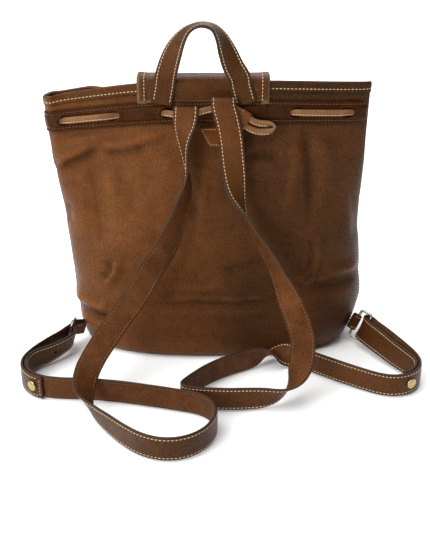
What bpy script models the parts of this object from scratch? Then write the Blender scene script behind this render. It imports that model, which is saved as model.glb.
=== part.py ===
"""Leather drawstring backpack with a flap, a top handle, two ringed shoulder straps and a cord.

All sizes are in millimetres until a mesh is made. +Z is up, -Y is the back panel that rests on the
wearer, +Y is the front. The origin is the centre of the base, on the surface it stands on.
"""
import bmesh
import bpy
import math
import numpy as np
from mathutils import Vector

MM = 0.001

# Bag shell. Each station is height, half width, sideways shift, half depth, squareness.
SHELL_STATIONS = (
    (0.0, 134.0, 0.0, 58.0, 2.5),
    (4.0, 138.0, 0.0, 61.0, 2.5),
    (10.0, 141.5, 0.5, 62.5, 2.5),
    (24.0, 146.0, 1.5, 61.5, 2.5),
    (48.0, 151.0, 2.0, 57.0, 2.5),
    (80.0, 150.5, 0.0, 50.0, 2.5),
    (120.0, 150.5, -2.0, 40.5, 2.6),
    (160.0, 152.0, -4.0, 31.0, 2.7),
    (200.0, 155.5, -6.0, 21.5, 2.8),
    (240.0, 158.5, -7.5, 13.0, 2.9),
    (276.0, 160.0, -8.0, 9.0, 3.0),
)
RIM = 276.0
DROOP_LEFT = 16.0
DROOP_START = -40.0
DROOP_RUN = 128.0
DROOP_RIGHT = 2.0
CORNER_LOOP = 6.0
CORNER_LOOP_ANGLE = -70.0
CORNER_LOOP_SPREAD = 10.0
LEATHER = 2.0
HEM_DROP = 10.0
HEM_EXTRA = 0.9
SEAM_GAP = 0.2
TOUCH_GAP = 0.3
BASE_THICK = 2.5

# Casing band: the sewn tunnel that the drawstring runs in.
BAND_LOW = 237.0
BAND_HIGH = 258.0
BAND_LEATHER = 1.4
TUNNEL_LOW = 242.0
TUNNEL_HIGH = 253.0
TUNNEL_DEPTH = 4.4
TUNNEL_SLOPE = 2.6
BAND_OUTER = TUNNEL_DEPTH + BAND_LEATHER

# Drawstring: a flat sewn leather cord.
CORD_TALL = 6.5
CORD_THICK = 2.8
CORD_HIDDEN = 2.15
CORD_SHOWN = BAND_OUTER + 0.4 + CORD_THICK / 2
CORD_HEIGHT = 247.5
SLOT_LONG = 20.0
SLOT_TALL = 9.4

# Straps and handle: sewn leather strip.
STRAP_WIDE = 24.0
STRAP_THICK = 2.8
STRAP_REST = STRAP_WIDE / 2 + 0.2
LOOP_BACK_OFFSET = 8.6
LOOP_FRONT_OFFSET = 17.6
LEFT_STRAP_X = -28.0
RIGHT_STRAP_X = 8.0

# Flap.
FLAP_LEFT = -75.0
FLAP_RIGHT = 52.5
FLAP_LEATHER = 1.8
FLAP_HINGE_Y = -8.0
FLAP_HINGE_Z = 279.5
FLAP_ROOT_TOP_Y = 10.3
FLAP_CORNER = 22.0

# Rings and studs.
RING_WIRE = 1.4
RING_BAR = 27.0
RING_SPAN = 12.5
TAB_WIDE = 17.0
TAB_THICK = 1.8
STUD_HEAD = 5.2
STUD_HEAD_THICK = 2.0
STUD_POST = 1.7
STUD_HOLE = 2.3
STUD_BACK = 4.5


# ---------------------------------------------------------------- shape of the bag

def shell_row(height):
    """Half width, sideways shift, half depth and squareness at a height, smoothly blended."""
    table = np.array(SHELL_STATIONS)
    heights = table[:, 0]
    index = int(np.clip(np.searchsorted(heights, height) - 1, 0, len(heights) - 2))
    span = heights[index + 1] - heights[index]
    t = np.clip((height - heights[index]) / span, 0.0, 1.0)

    def slope(i):
        low = max(i - 1, 0)
        high = min(i + 1, len(heights) - 1)
        return (table[high, 1:] - table[low, 1:]) / (heights[high] - heights[low])

    a, b = table[index, 1:], table[index + 1, 1:]
    ma, mb = slope(index) * span, slope(index + 1) * span
    return ((2 * t**3 - 3 * t**2 + 1) * a + (t**3 - 2 * t**2 + t) * ma
            + (-2 * t**3 + 3 * t**2) * b + (t**3 - t**2) * mb)


def shell_point(angle, height, inset=0.0):
    """Point on the wall. Angle 0 is the middle of the back, 90 the right seam, 180 the front."""
    half_width, shift, half_depth, square = shell_row(height)
    sine = math.sin(math.radians(angle))
    cosine = math.cos(math.radians(angle))
    power = 2.0 / square
    x = shift + (half_width - inset) * math.copysign(abs(sine)**power, sine)
    rise = (height / RIM)**6
    near = angle if abs(angle) <= 90 else math.copysign(180 - abs(angle), angle)
    loop = CORNER_LOOP * rise * math.exp(-((near - CORNER_LOOP_ANGLE) / CORNER_LOOP_SPREAD)**2)
    depth = (half_depth - inset) * abs(cosine)**power + loop
    y = -math.copysign(depth, cosine)
    left = max(0.0, (DROOP_START - x) / DROOP_RUN)
    right = max(0.0, (x - 60.0) / 92.0)
    droop = (DROOP_LEFT * left**1.4 + DROOP_RIGHT * right) * (height / RIM)**3
    return Vector((x, y, height - droop))


def wall_normal(angle, height):
    """Outward way at a place on the wall."""
    along = shell_point(angle + 1, height) - shell_point(angle - 1, height)
    up = shell_point(angle, height + 2) - shell_point(angle, height - 2)
    return along.cross(up).normalized()


def wall_point(angle, height, offset=0.0):
    """Point that stands off the wall by an offset, at the same height; below 0 it is inside."""
    if offset <= 0:
        return shell_point(angle, height, -offset)
    along = shell_point(angle + 1, height) - shell_point(angle - 1, height)
    out = Vector((along.y, -along.x, 0)).normalized()
    return shell_point(angle, height) + out * offset


def back_y(x, height, offset=0.0):
    """Depth of the back wall at a sideways place."""
    half_width, shift, half_depth, square = shell_row(height)
    across = min(0.999, abs((x - shift) / (half_width + offset)))
    return -(half_depth + offset) * (1 - across**square)**(1 / square)


def angle_at(x, height, front=False):
    """Wall angle at a sideways place."""
    half_width, shift, _, square = shell_row(height)
    across = np.clip((x - shift) / half_width, -1, 1)
    angle = math.degrees(math.asin(abs(across)**(square / 2)))
    angle = math.copysign(angle, across)
    if front:
        return math.copysign(180, across) - angle
    return angle


# ---------------------------------------------------------------- mesh helpers

def material(name, colour, roughness=0.6, metallic=0.0):
    made = bpy.data.materials.new(name)
    made.use_nodes = True
    shader = made.node_tree.nodes["Principled BSDF"]
    shader.inputs["Base Color"].default_value = (*colour, 1.0)
    shader.inputs["Roughness"].default_value = roughness
    shader.inputs["Metallic"].default_value = metallic
    return made


def add_object(name, points, faces, surface):
    """Make a mesh object from points in millimetres, with its faces pointing out."""
    mesh = bpy.data.meshes.new(name)
    mesh.from_pydata([tuple(c * MM for c in p) for p in points], [], faces)
    shell = bmesh.new()
    shell.from_mesh(mesh)
    bmesh.ops.recalc_face_normals(shell, faces=shell.faces)
    shell.to_mesh(mesh)
    shell.free()
    mesh.materials.append(surface)
    mesh.shade_smooth()
    mesh.set_sharp_from_angle(angle=math.radians(35))
    made = bpy.data.objects.new(name, mesh)
    bpy.context.collection.objects.link(made)
    return made


def sheet_between(name, outer, inner, surface):
    """Closed skin between two equal grids of points."""
    rows, columns = len(outer), len(outer[0])
    points = [p for row in outer for p in row] + [p for row in inner for p in row]
    back = rows * columns

    def at(row, column, side):
        return side * back + row * columns + column

    faces = []
    for row in range(rows - 1):
        for column in range(columns - 1):
            quad = ((row, column), (row, column + 1), (row + 1, column + 1), (row + 1, column))
            faces.append([at(r, c, 0) for r, c in quad])
            faces.append([at(r, c, 1) for r, c in reversed(quad)])
    for column in range(columns - 1):
        for row, way in ((0, 1), (rows - 1, -1)):
            edge = [at(row, column, 0), at(row, column, 1), at(row, column + 1, 1), at(row, column + 1, 0)]
            faces.append(edge[::way])
    for row in range(rows - 1):
        for column, way in ((0, -1), (columns - 1, 1)):
            edge = [at(row, column, 0), at(row, column, 1), at(row + 1, column, 1), at(row + 1, column, 0)]
            faces.append(edge[::way])
    return add_object(name, points, faces, surface)


def smooth_path(route, steps, closed=False):
    """Catmull-Rom curve through rows of numbers."""
    route = np.array(route, dtype=float)
    count = len(route)
    spans = count if closed else count - 1
    samples = []
    for i in range(spans):
        if closed:
            p0, p1, p2, p3 = (route[(i + k) % count] for k in (-1, 0, 1, 2))
        else:
            p1, p2 = route[i], route[i + 1]
            p0 = route[i - 1] if i > 0 else 2 * p1 - p2
            p3 = route[i + 2] if i + 2 < count else 2 * p2 - p1
        gaps = [max(np.linalg.norm(b[:3] - a[:3]), 1e-6)**0.5 for a, b in ((p0, p1), (p1, p2), (p2, p3))]
        m1 = ((p1 - p0) / gaps[0] - (p2 - p0) / (gaps[0] + gaps[1]) + (p2 - p1) / gaps[1]) * gaps[1]
        m2 = ((p2 - p1) / gaps[1] - (p3 - p1) / (gaps[1] + gaps[2]) + (p3 - p2) / gaps[2]) * gaps[1]
        for step in range(steps):
            t = step / steps
            samples.append((2 * t**3 - 3 * t**2 + 1) * p1 + (t**3 - 2 * t**2 + t) * m1
                           + (-2 * t**3 + 3 * t**2) * p2 + (t**3 - t**2) * m2)
    if not closed:
        samples.append(route[-1])
    return np.array(samples)


def eased(ways, closed, passes=5):
    """Directions averaged with their neighbours, so that a twist is spread along the strip."""
    for _ in range(passes):
        ways = ways / np.linalg.norm(ways, axis=1, keepdims=True)
        before, after = np.roll(ways, 1, axis=0), np.roll(ways, -1, axis=0)
        if not closed:
            before[0], after[-1] = ways[0], ways[-1]
        ways = (before + 2 * ways + after) / 4
    return ways


def strip(name, route, wide, thick, surface, steps=3, closed=False):
    """Flat strip swept along a route. Each route row is a place and the way its width points."""
    samples = smooth_path(route, steps, closed)
    count = len(samples)
    samples[:, 3:6] = eased(samples[:, 3:6], closed)
    points = []
    for i, row in enumerate(samples):
        ahead = samples[(i + 1) % count if closed else min(i + 1, count - 1)]
        behind = samples[i - 1 if closed or i > 0 else 0]
        along = Vector(ahead[:3] - behind[:3]).normalized()
        across = Vector(row[3:6])
        across = (across - along * across.dot(along)).normalized()
        face = along.cross(across)
        centre = Vector(row[:3])
        for side, level in ((-1, -1), (1, -1), (1, 1), (-1, 1)):
            points.append(centre + across * side * wide / 2 + face * level * thick / 2)
    faces = []
    for i in range(count if closed else count - 1):
        a, b = 4 * i, 4 * ((i + 1) % count)
        faces += [[a + k, a + (k + 1) % 4, b + (k + 1) % 4, b + k] for k in range(4)]
    if not closed:
        faces += [[3, 2, 1, 0], [4 * count - 4 + k for k in range(4)]]
    return add_object(name, points, faces, surface)


def block(name, outline, origin, x_way, y_way, depth, surface):
    """Flat outline pushed along the third axis by its depth."""
    origin, x_way, y_way = Vector(origin), Vector(x_way).normalized(), Vector(y_way).normalized()
    z_way = x_way.cross(y_way)
    count = len(outline)
    low = [origin + x_way * u + y_way * v for u, v in outline]
    high = [p + z_way * depth for p in low]
    faces = [list(range(count))[::-1], list(range(count, 2 * count))]
    faces += [[i, (i + 1) % count, count + (i + 1) % count, count + i] for i in range(count)]
    return add_object(name, low + high, faces, surface)


def turned(name, profile, origin, axis, surface, sides=20):
    """Solid turned about an axis from (radius, height) pairs that start and end on the axis."""
    turn = Vector((0, 0, 1)).rotation_difference(Vector(axis).normalized()).to_matrix()
    origin = Vector(origin)
    points = [origin + turn @ Vector((0, 0, profile[0][1]))]
    rings = profile[1:-1]
    for radius, height in rings:
        for k in range(sides):
            a = 2 * math.pi * k / sides
            points.append(origin + turn @ Vector((radius * math.cos(a), radius * math.sin(a), height)))
    points.append(origin + turn @ Vector((0, 0, profile[-1][1])))
    last = len(points) - 1
    faces = []
    for k in range(sides):
        n = (k + 1) % sides
        faces.append([0, 1 + n, 1 + k])
        for r in range(len(rings) - 1):
            a, b = 1 + r * sides, 1 + (r + 1) * sides
            faces.append([a + k, a + n, b + n, b + k])
        top = 1 + (len(rings) - 1) * sides
        faces.append([top + k, top + n, last])
    return add_object(name, points, faces, surface)


def cut(target, cutter):
    """Boolean difference that keeps its cutter as a hidden guide."""
    cutter.hide_render = True
    cutter.display_type = "WIRE"
    change = target.modifiers.new("cut_" + cutter.name, "BOOLEAN")
    change.operation = "DIFFERENCE"
    change.solver = "EXACT"
    change.object = cutter


# ---------------------------------------------------------------- bag body

PANEL_ANGLES = tuple(np.linspace(-90, 90, 27))
PANEL_HEIGHTS = (0, 4, 10, 24, 48, 80, 120, 160, 200, BAND_LOW, 248, BAND_HIGH, RIM - HEM_DROP,
                 RIM - HEM_DROP + 1.5, RIM)


def wall_grid(heights, thickness_at, side):
    """Grid of wall points. The seam columns stop short of the other panel by the seam gap."""
    grid = []
    for height in heights:
        row = []
        for angle in PANEL_ANGLES:
            turned_angle = angle if side < 0 else math.copysign(180, angle or 1) - angle
            p = wall_point(turned_angle, height, thickness_at(height))
            p.y = side * max(abs(p.y), SEAM_GAP)
            row.append(p)
        grid.append(row)
    return grid


def hem(height):
    return HEM_EXTRA if height > RIM - HEM_DROP else 0.0


def make_panel(name, side, surface):
    outer = wall_grid(PANEL_HEIGHTS, hem, side)
    inner = wall_grid(PANEL_HEIGHTS, lambda z: -LEATHER - hem(z), side)
    return sheet_between(name, outer, inner, surface)


def make_base(surface):
    outline = [wall_point(a, 0.0, -LEATHER - 0.4) for a in np.linspace(-180, 180, 61)[:-1]]
    return block("base_panel", [(p.x, p.y) for p in outline], (0, 0, 0), (1, 0, 0), (0, 1, 0),
                 BASE_THICK, surface)


def make_band(name, side, slots, surface):
    heights = (BAND_LOW, TUNNEL_LOW - TUNNEL_SLOPE, TUNNEL_LOW, CORD_HEIGHT, TUNNEL_HIGH,
               TUNNEL_HIGH + TUNNEL_SLOPE, BAND_HIGH)
    lift = {TUNNEL_LOW: 1.0, CORD_HEIGHT: 1.0, TUNNEL_HIGH: 1.0}

    def inner_offset(height):
        return TOUCH_GAP + (TUNNEL_DEPTH - TOUCH_GAP) * lift.get(height, 0.0)

    inner = wall_grid(heights, inner_offset, side)
    outer = wall_grid(heights, lambda z: inner_offset(z) + BAND_LEATHER, side)
    band = sheet_between(name, outer, inner, surface)
    for number, x in enumerate(slots):
        angle = angle_at(x, CORD_HEIGHT, side > 0)
        centre = wall_point(angle, CORD_HEIGHT, BAND_OUTER - 0.2)
        out = wall_normal(angle, CORD_HEIGHT)
        along = Vector((0, 0, 1)).cross(out).normalized()
        up = out.cross(along)
        half, tall = SLOT_LONG / 2, SLOT_TALL / 2
        outline = [(-half, -tall), (half, -tall), (half, tall), (-half, tall)]
        cutter = block("%s_slot_%d" % (name, number), outline, centre - out * 2.6, along, up, 7.0, surface)
        cut(band, cutter)
    return band


# ---------------------------------------------------------------- drawstring and its slider

BACK_SLOTS = (-142.0, -98.0, -47.0, 20.0, 78.0, 127.0)
FRONT_SLOTS = (-140.0, -94.0, 80.0, 128.0)
SLIDER_TILT = -33.0


def tunnel_run(places):
    """Route rows along the casing: sideways place, wall offset, height and side of the bag."""
    rows = []
    for x, offset, height, front in places:
        angle = angle_at(x, CORD_HEIGHT, front)
        rows.append((*wall_point(angle, height, offset), *wall_normal(angle, CORD_HEIGHT)))
    return rows


def corner_run(sign, back_to_front):
    """Route rows round a side seam, inside the casing."""
    angles = (67, 70.5, 74, 78, 84, 90, 96, 102, 106, 109.5, 113)
    rows = []
    for angle in (angles if back_to_front else angles[::-1]):
        place = wall_point(sign * angle, CORD_HEIGHT, CORD_HIDDEN)
        rows.append((*place, *wall_normal(sign * angle, CORD_HEIGHT)))
    return rows


def shown_between(low, high, front):
    """Places for a cord that comes out at one slot and goes in at the next."""
    way = 1 if high > low else -1
    return [(low - 9 * way, CORD_HIDDEN, CORD_HEIGHT, front), (low + 7 * way, CORD_SHOWN, CORD_HEIGHT, front),
            ((low + high) / 2, CORD_SHOWN + 0.4, CORD_HEIGHT, front),
            (high - 7 * way, CORD_SHOWN, CORD_HEIGHT, front), (high + 9 * way, CORD_HIDDEN, CORD_HEIGHT, front)]


def drawstring_route():
    """Closed route: left along the back, round the front, in at the right and out to the end loop."""
    upper = [(-60, CORD_HIDDEN, 247.5), (-53, 3.2, 247.5), (-43, 10.0, 246.8), (-36, 13.0, 246.6),
             (-22, 13.0, 247.6), (-8, 13.0, 251.0), (6, 12.8, 253.8), (14, 12.6, 254.0), (21, 12.3, 251.6),
             (26.5, 12.0, 248.0), (32, 12.0, 243.8), (37, 11.6, 240.0), (43, 10.8, 237.8), (50, 9.6, 237.0)]
    turn = [(56, 8.8, 235.8), (58.6, 8.6, 233.1), (56.4, 8.8, 230.4)]
    lower = [(50, 9.6, 229.2), (42.5, 10.8, 229.4), (35, 11.8, 232.0), (27, 12.0, 237.0), (20.5, 12.1, 240.6),
             (14, 12.2, 241.0), (8, 11.8, 239.6), (3.5, 11.2, 240.4), (1.8, 10.4, 242.8), (3.5, 9.6, 245.6),
             (8, 9.2, 246.8), (13, 8.6, 247.2), (21, 5.6, 247.4), (29, CORD_HIDDEN, 247.5)]
    rows = [(x, offset, height, False) for x, offset, height in upper + turn + lower]
    rows = tunnel_run(rows)
    rows += tunnel_run([(54, CORD_HIDDEN, CORD_HEIGHT, False)] + shown_between(BACK_SLOTS[4], BACK_SLOTS[5], False))
    rows += corner_run(1, True)
    rows += tunnel_run(shown_between(FRONT_SLOTS[3], FRONT_SLOTS[2], True))
    rows += tunnel_run([(40, CORD_HIDDEN, CORD_HEIGHT, True), (0, CORD_HIDDEN, CORD_HEIGHT, True),
                        (-50, CORD_HIDDEN, CORD_HEIGHT, True)])
    rows += tunnel_run(shown_between(FRONT_SLOTS[1], FRONT_SLOTS[0], True))
    rows += corner_run(-1, False)
    rows += tunnel_run(shown_between(BACK_SLOTS[0], BACK_SLOTS[1], False))
    rows += tunnel_run([(-72, CORD_HIDDEN, CORD_HEIGHT, False)])
    return rows


def make_drawstring(surface):
    """The strip's width stays flat to the wall, so each row's outward way is turned into it."""
    rows = drawstring_route()
    count = len(rows)
    turned_rows = []
    for i, row in enumerate(rows):
        along = Vector(rows[(i + 1) % count][:3]) - Vector(rows[i - 1][:3])
        across = Vector(row[3:6]).cross(along).normalized()
        turned_rows.append((*row[:3], *across))
    return strip("drawstring", turned_rows, CORD_TALL, CORD_THICK, surface, steps=3, closed=True)


def make_slider(surface):
    """Leather sleeve round both strands of the cord, open at both ends."""
    centre = Vector((26.5, back_y(26.5, 242.6, 12.0), 242.6))
    tilt = math.radians(SLIDER_TILT)
    along = Vector((math.cos(tilt), 0, math.sin(tilt)))
    lean = (back_y(27, 250) - back_y(27, 230)) / 20.0
    along = Vector((along.x, lean * along.z, along.z)).normalized()
    up = Vector((-along.z, lean * along.x, along.x)).normalized()
    out = along.cross(up).normalized()
    inner_tall, inner_deep, wall, length = 18.0, 5.4, 1.2, 9.5

    def frame(tall, deep):
        return [(-deep, -tall), (deep, -tall), (deep, tall), (-deep, tall)]

    loops = []
    for u in (-length / 2, length / 2):
        for tall, deep in ((inner_tall / 2 + wall, inner_deep / 2 + wall), (inner_tall / 2, inner_deep / 2)):
            loops.append([centre + along * u + out * a + up * b for a, b in frame(tall, deep)])
    points = [p for loop in loops for p in loop]
    faces = []
    for a, b in ((0, 4), (4, 12), (12, 8), (8, 0)):
        faces += [[a + k, a + (k + 1) % 4, b + (k + 1) % 4, b + k] for k in range(4)]
    return add_object("drawstring_slider", points, faces, surface)


# ---------------------------------------------------------------- shoulder straps

def strap_top(x, start, fold):
    """The strap's end goes up behind the drawstring, folds over it and comes down in front."""
    middle = (LOOP_BACK_OFFSET + LOOP_FRONT_OFFSET) / 2
    radius = (LOOP_FRONT_OFFSET - LOOP_BACK_OFFSET) / 2
    rows = [(x, back_y(x, start, LOOP_BACK_OFFSET), start, 1, 0, 0)]
    for degrees in (180, 135, 90, 45, 0):
        a = math.radians(degrees)
        y = back_y(x, fold) - middle - radius * math.cos(a)
        rows.append((x, y, fold + radius * math.sin(a), 1, 0, 0))
    return rows


LEFT_STRAP = (
    (-28.8, -31.5, 243, 1, -0.1, 0), (-30, -33, 232, 0.62, -0.8, 0.05), (-29.8, -35, 220, 0.36, -0.92, 0.12),
    (-28.5, -38, 208, 0.15, -0.95, 0.25),
    (-26.5, -43, 191, -0.04, -0.92, 0.4), (-27, -47.5, 180, -0.33, -0.85, 0.35),
    (-30, -51.5, 170, -0.5, -0.78, 0.3), (-40, -62.5, 144, -0.72, -0.6, 0.3),
    (-50, -72.5, 125, -0.88, -0.35, 0.25), (-62, -81, 110, -1, -0.15, 0.2), (-73, -91, 93, -1, 0, 0.2),
    (-95, -109, 66, -1, 0, 0.2), (-109, -122, 49, -1, 0, 0.2), (-117, -134, 39, -1, 0, 0.2),
    (-121, -145.5, 32.5, -0.9, -0.1, 0.35), (-122.5, -155.5, 25, -0.8, -0.2, 0.55),
    (-120.5, -166, 17.5, -0.6, -0.2, 0.8), (-115, -176, 14, -0.35, -0.1, 0.95),
    (-106, -187, STRAP_REST, -0.2, -0.1, 1), (-94, -201, STRAP_REST, -0.1, 0, 1),
    (-79, -217, STRAP_REST, 0, 0, 1), (-64, -229, STRAP_REST, 0, 0, 1), (-48, -235.5, STRAP_REST, 0, 0, 1),
    (-33, -235.5, STRAP_REST, 0, 0, 1), (-19, -229.5, STRAP_REST, 0, 0, 1), (-7.5, -218, STRAP_REST, 0, 0, 1),
    (-0.5, -203, STRAP_REST, 0, 0, 1), (0.5, -189, STRAP_REST, 0, 0, 1), (-4.5, -176, STRAP_REST, 0, 0, 1),
    (-16, -166, STRAP_REST, 0, 0, 1), (-36, -159.5, STRAP_REST, 0, 0, 1), (-62, -152.5, STRAP_REST, 0, 0, 1),
    (-92, -145.5, STRAP_REST, 0, 0, 1), (-122, -141, STRAP_REST, 0, 0, 1), (-148, -139.5, STRAP_REST, 0, 0, 1),
    (-163, -136.5, STRAP_REST, 0, 0, 1), (-175.5, -129, STRAP_REST, 0, 0, 1), (-184, -117, STRAP_REST, 0, 0, 1),
    (-186.5, -103, STRAP_REST, 0, 0, 1), (-182, -88, 12.5, 0.05, -0.05, 1), (-170, -77, 13, 0.15, -0.15, 1),
    (-158, -67, 15, 0.25, -0.22, 0.95), (-149.4, -55, 16.4, 0.27, -0.25, 0.93),
    (-148.6, -44.5, 16.9, 0.27, -0.25, 0.93), (-152.2, -39.4, 17.1, 0.27, -0.25, 0.93),
    (-157.2, -41.6, 16.9, 0.27, -0.25, 0.93), (-162, -49, 16.2, 0.26, -0.24, 0.94),
    (-174, -65, 14.6, 0.18, -0.18, 0.97), (-185.6, -85.2, 12.8, 0.06, -0.06, 1),
    (-190.3, -103, STRAP_REST, 0, 0, 1), (-187.6, -118.8, STRAP_REST, 0, 0, 1),
    (-178, -131.9, STRAP_REST, 0, 0, 1), (-165.5, -139.6, STRAP_REST, 0, 0, 1),
)

RIGHT_STRAP = (
    (12, -31.5, 244, 1, 0, 0), (15, -35, 229, 1, 0, 0), (16.8, -38.5, 213, 1, 0.05, 0),
    (18.6, -43, 196, 0.97, 0.2, 0), (20.8, -49.5, 180, 0.8, 0.6, -0.1), (25, -55.5, 166.5, 0.4, 0.88, -0.35),
    (30.5, -60.5, 155.5, -0.05, 1, -0.45), (38, -67, 142, -0.28, 0.95, -0.4), (47, -74, 130, -0.4, 0.9, -0.35),
    (55.5, -82, 117.5, -0.5, 0.85, -0.3), (63.5, -92, 103, -0.62, 0.78, -0.2), (71, -103, 89, -0.88, 0.45, -0.1),
    (78.5, -114.5, 73, -1, 0.12, 0), (83, -125, 58.5, -1, 0, 0), (83, -133.5, 46.5, -1, 0.05, 0), (80.5, -141, 35.5, -0.9, 0.35, -0.1),
    (75.5, -147.5, 25, -0.5, 0.75, -0.4), (67.5, -152, 17.5, -0.1, 0.75, -0.65),
    (57.5, -154.8, 13.5, 0, 0.4, -0.9), (46, -156.5, STRAP_REST, 0, 0.1, -1),
    (32, -158, STRAP_REST, 0, 0, -1), (14, -158.6, STRAP_REST, 0, 0, -1), (-5, -157.6, STRAP_REST, 0, 0, -1),
    (-18, -156, STRAP_REST, 0, 0, -1), (-26.5, -154, STRAP_REST, 0, 0, -1), (-31, -150.6, STRAP_REST, 0, 0, -1),
    (-31.4, -146, STRAP_REST, 0, 0, -1), (-28, -140, STRAP_REST, 0, 0, -1), (-21, -130.5, STRAP_REST, 0, 0, -1),
    (-11, -118.5, STRAP_REST, 0, 0, -1), (2, -106.5, STRAP_REST, 0, 0, -1), (17, -95.8, STRAP_REST, 0, 0, -1),
    (32, -87, STRAP_REST, 0, 0, -1), (45, -80.5, 12.5, 0, 0.1, -1), (54, -76.8, 12.5, 0, 0.75, -0.65),
    (62, -75, 12.5, 0.1, 1, 0.1), (70.5, -75.6, 12.5, 0.1, 0.7, 0.7), (80, -79.4, 12.4, 0, 0.1, 1),
    (95, -88.6, STRAP_REST, 0, 0, 1), (114, -102.5, STRAP_REST, 0, 0, 1), (130, -114, STRAP_REST, 0, 0, 1),
    (146, -124.6, STRAP_REST, 0, 0, 1), (158, -131.4, STRAP_REST, 0, 0, 1), (170, -134.8, STRAP_REST, 0, 0, 1),
    (182, -133, STRAP_REST, 0, 0, 1), (193, -126.4, STRAP_REST, 0, 0, 1), (200.3, -115.6, STRAP_REST, 0, 0, 1),
    (201.8, -103, 12.4, 0.03, 0.01, 1), (197.4, -89, 13, 0.15, 0.06, 0.98), (189.4, -73, 13.8, 0.26, 0.12, 0.95),
    (180.6, -57, 15, 0.36, 0.16, 0.91), (172.5, -43, 16, 0.43, 0.19, 0.88),
    (166.8, -33, 16.5, 0.45, 0.2, 0.87), (164.4, -26.2, 16.6, 0.45, 0.2, 0.87), (160.6, -23.6, 17.2, 0.45, 0.2, 0.87),
    (156.8, -26, 17.4, 0.45, 0.2, 0.87), (157.2, -32.6, 17, 0.45, 0.2, 0.87), (163, -43.6, 16, 0.43, 0.19, 0.88),
    (171.6, -59, 15, 0.36, 0.16, 0.91), (180.8, -75.2, 13.8, 0.26, 0.12, 0.95),
    (190.8, -91.4, 13, 0.15, 0.06, 0.98), (197.4, -103.6, 12.4, 0.03, 0.01, 1),
    (196.9, -113.6, STRAP_REST, 0, 0, 1), (191.8, -122.7, STRAP_REST, 0, 0, 1), (182.3, -129.6, STRAP_REST, 0, 0, 1),
)

LEFT_STUD = ((-173.6, -132.8, 12.5), (-0.61, -0.79, 0))
RIGHT_STUD = ((187.6, -128.45, 12.5), (0.51, -0.86, 0))
LEFT_SPARE_HOLE = ((-164, -72, 13), (-0.65, 0.76, 0))
RIGHT_SPARE_HOLE = ((168, -52.5, 14.5), (-0.85, -0.45, 0.5))


def make_strap(name, top, route, surface):
    return strip(name, list(top) + list(route), STRAP_WIDE, STRAP_THICK, surface, steps=3)


def hole_through(target, name, place, reach, radius, surface):
    """Round hole through a strap at a place, along a way."""
    profile = [(0, -reach), (radius, -reach), (radius, reach), (0, reach)]
    cutter = turned(name, profile, place[0], place[1], surface, sides=12)
    cut(target, cutter)


def make_stud(side, place, surface):
    """Flat headed stud with its post, and the screw cap that holds it from behind."""
    grip = STRAP_THICK + 1.3
    head = [(0, -grip), (STUD_POST, -grip), (STUD_POST, grip), (STUD_HEAD, grip),
            (STUD_HEAD, grip + STUD_HEAD_THICK * 0.6), (STUD_HEAD * 0.8, grip + STUD_HEAD_THICK),
            (0, grip + STUD_HEAD_THICK)]
    turned("stud_" + side, head, place[0], place[1], surface, sides=18)
    back = -grip - TOUCH_GAP
    cap = [(0, back - 1.2), (STUD_BACK * 0.85, back - 1.2), (STUD_BACK, back - 0.7), (STUD_BACK, back), (0, back)]
    turned("stud_screw_" + side, cap, place[0], place[1], surface, sides=18)


# ---------------------------------------------------------------- rings and ring tabs

LEFT_RING = ((-153.0, -44.0, 16.9), (0.27, -0.25, 0.93), (0.19, 0.96, 0.2))
RIGHT_RING = ((160.6, -28.4, 16.6), (0.45, 0.2, 0.87), (-0.75, 0.55, 0.26))


def ring_bars(ring):
    """Centre of the strap's bar, centre of the tab's bar, way of the bars and way between them."""
    centre, bar, across = Vector(ring[0]), Vector(ring[1]).normalized(), Vector(ring[2])
    across = (across - bar * across.dot(bar)).normalized()
    return centre, centre + across * RING_SPAN, bar, across


def make_ring(name, ring, surface):
    """Round wire bent into a rectangle with rounded corners."""
    near, far, bar, across = ring_bars(ring)
    middle = (near + far) / 2
    half_long, half_short, corner, sides = RING_BAR / 2 + RING_WIRE, RING_SPAN / 2, 3.0, 8
    path = []
    for sx, sy, start in ((1, 1, 0), (-1, 1, 90), (-1, -1, 180), (1, -1, 270)):
        for step in range(4):
            a = math.radians(start + step * 30)
            u = sx * (half_long - corner) + corner * math.cos(a)
            v = sy * (half_short - corner) + corner * math.sin(a)
            path.append((u, v, a))
    normal = bar.cross(across)
    points = []
    for u, v, a in path:
        out = bar * math.cos(a) + across * math.sin(a)
        place = middle + bar * u + across * v
        for k in range(sides):
            b = 2 * math.pi * k / sides
            points.append(place + out * RING_WIRE * math.cos(b) + normal * RING_WIRE * math.sin(b))
    count = len(path)
    faces = []
    for i in range(count):
        for k in range(sides):
            n = (k + 1) % sides
            a, b = i * sides, ((i + 1) % count) * sides
            faces.append([a + k, a + n, b + n, b + k])
    return add_object(name, points, faces, surface)


def make_tab(name, ring, root, surface):
    """Leather strip folded round the ring's far bar, with both ends at the bag's corner seam."""
    _, far, bar, _ = ring_bars(ring)
    away = Vector(root) - far
    away = (away - bar * away.dot(bar))
    length = away.length
    away.normalize()
    side = bar.cross(away)
    radius = RING_WIRE + 0.5 + TAB_THICK / 2
    rows = [(*(far + away * length + side * radius * 0.75), *bar), (*(far + away * 4 + side * radius), *bar)]
    for degrees in (90, 135, 180, 225, 270):
        a = math.radians(degrees)
        rows.append((*(far + away * radius * math.cos(a) + side * radius * math.sin(a)), *bar))
    rows += [(*(far + away * 4 - side * radius), *bar), (*(far + away * length - side * radius * 0.75), *bar)]
    return strip(name, rows, TAB_WIDE, TAB_THICK, surface, steps=2)


# ---------------------------------------------------------------- patch, flap, snap and handle

def back_frame(x, height, offset):
    """Place on the back wall, and its across, up and outward ways."""
    low = Vector((x, back_y(x, height - 6, offset), height - 6))
    high = Vector((x, back_y(x, height + 6, offset), height + 6))
    up = (high - low).normalized()
    place = Vector((x, back_y(x, height, offset), height))
    return place, Vector((1, 0, 0)), up, Vector((1, 0, 0)).cross(up)


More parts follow.
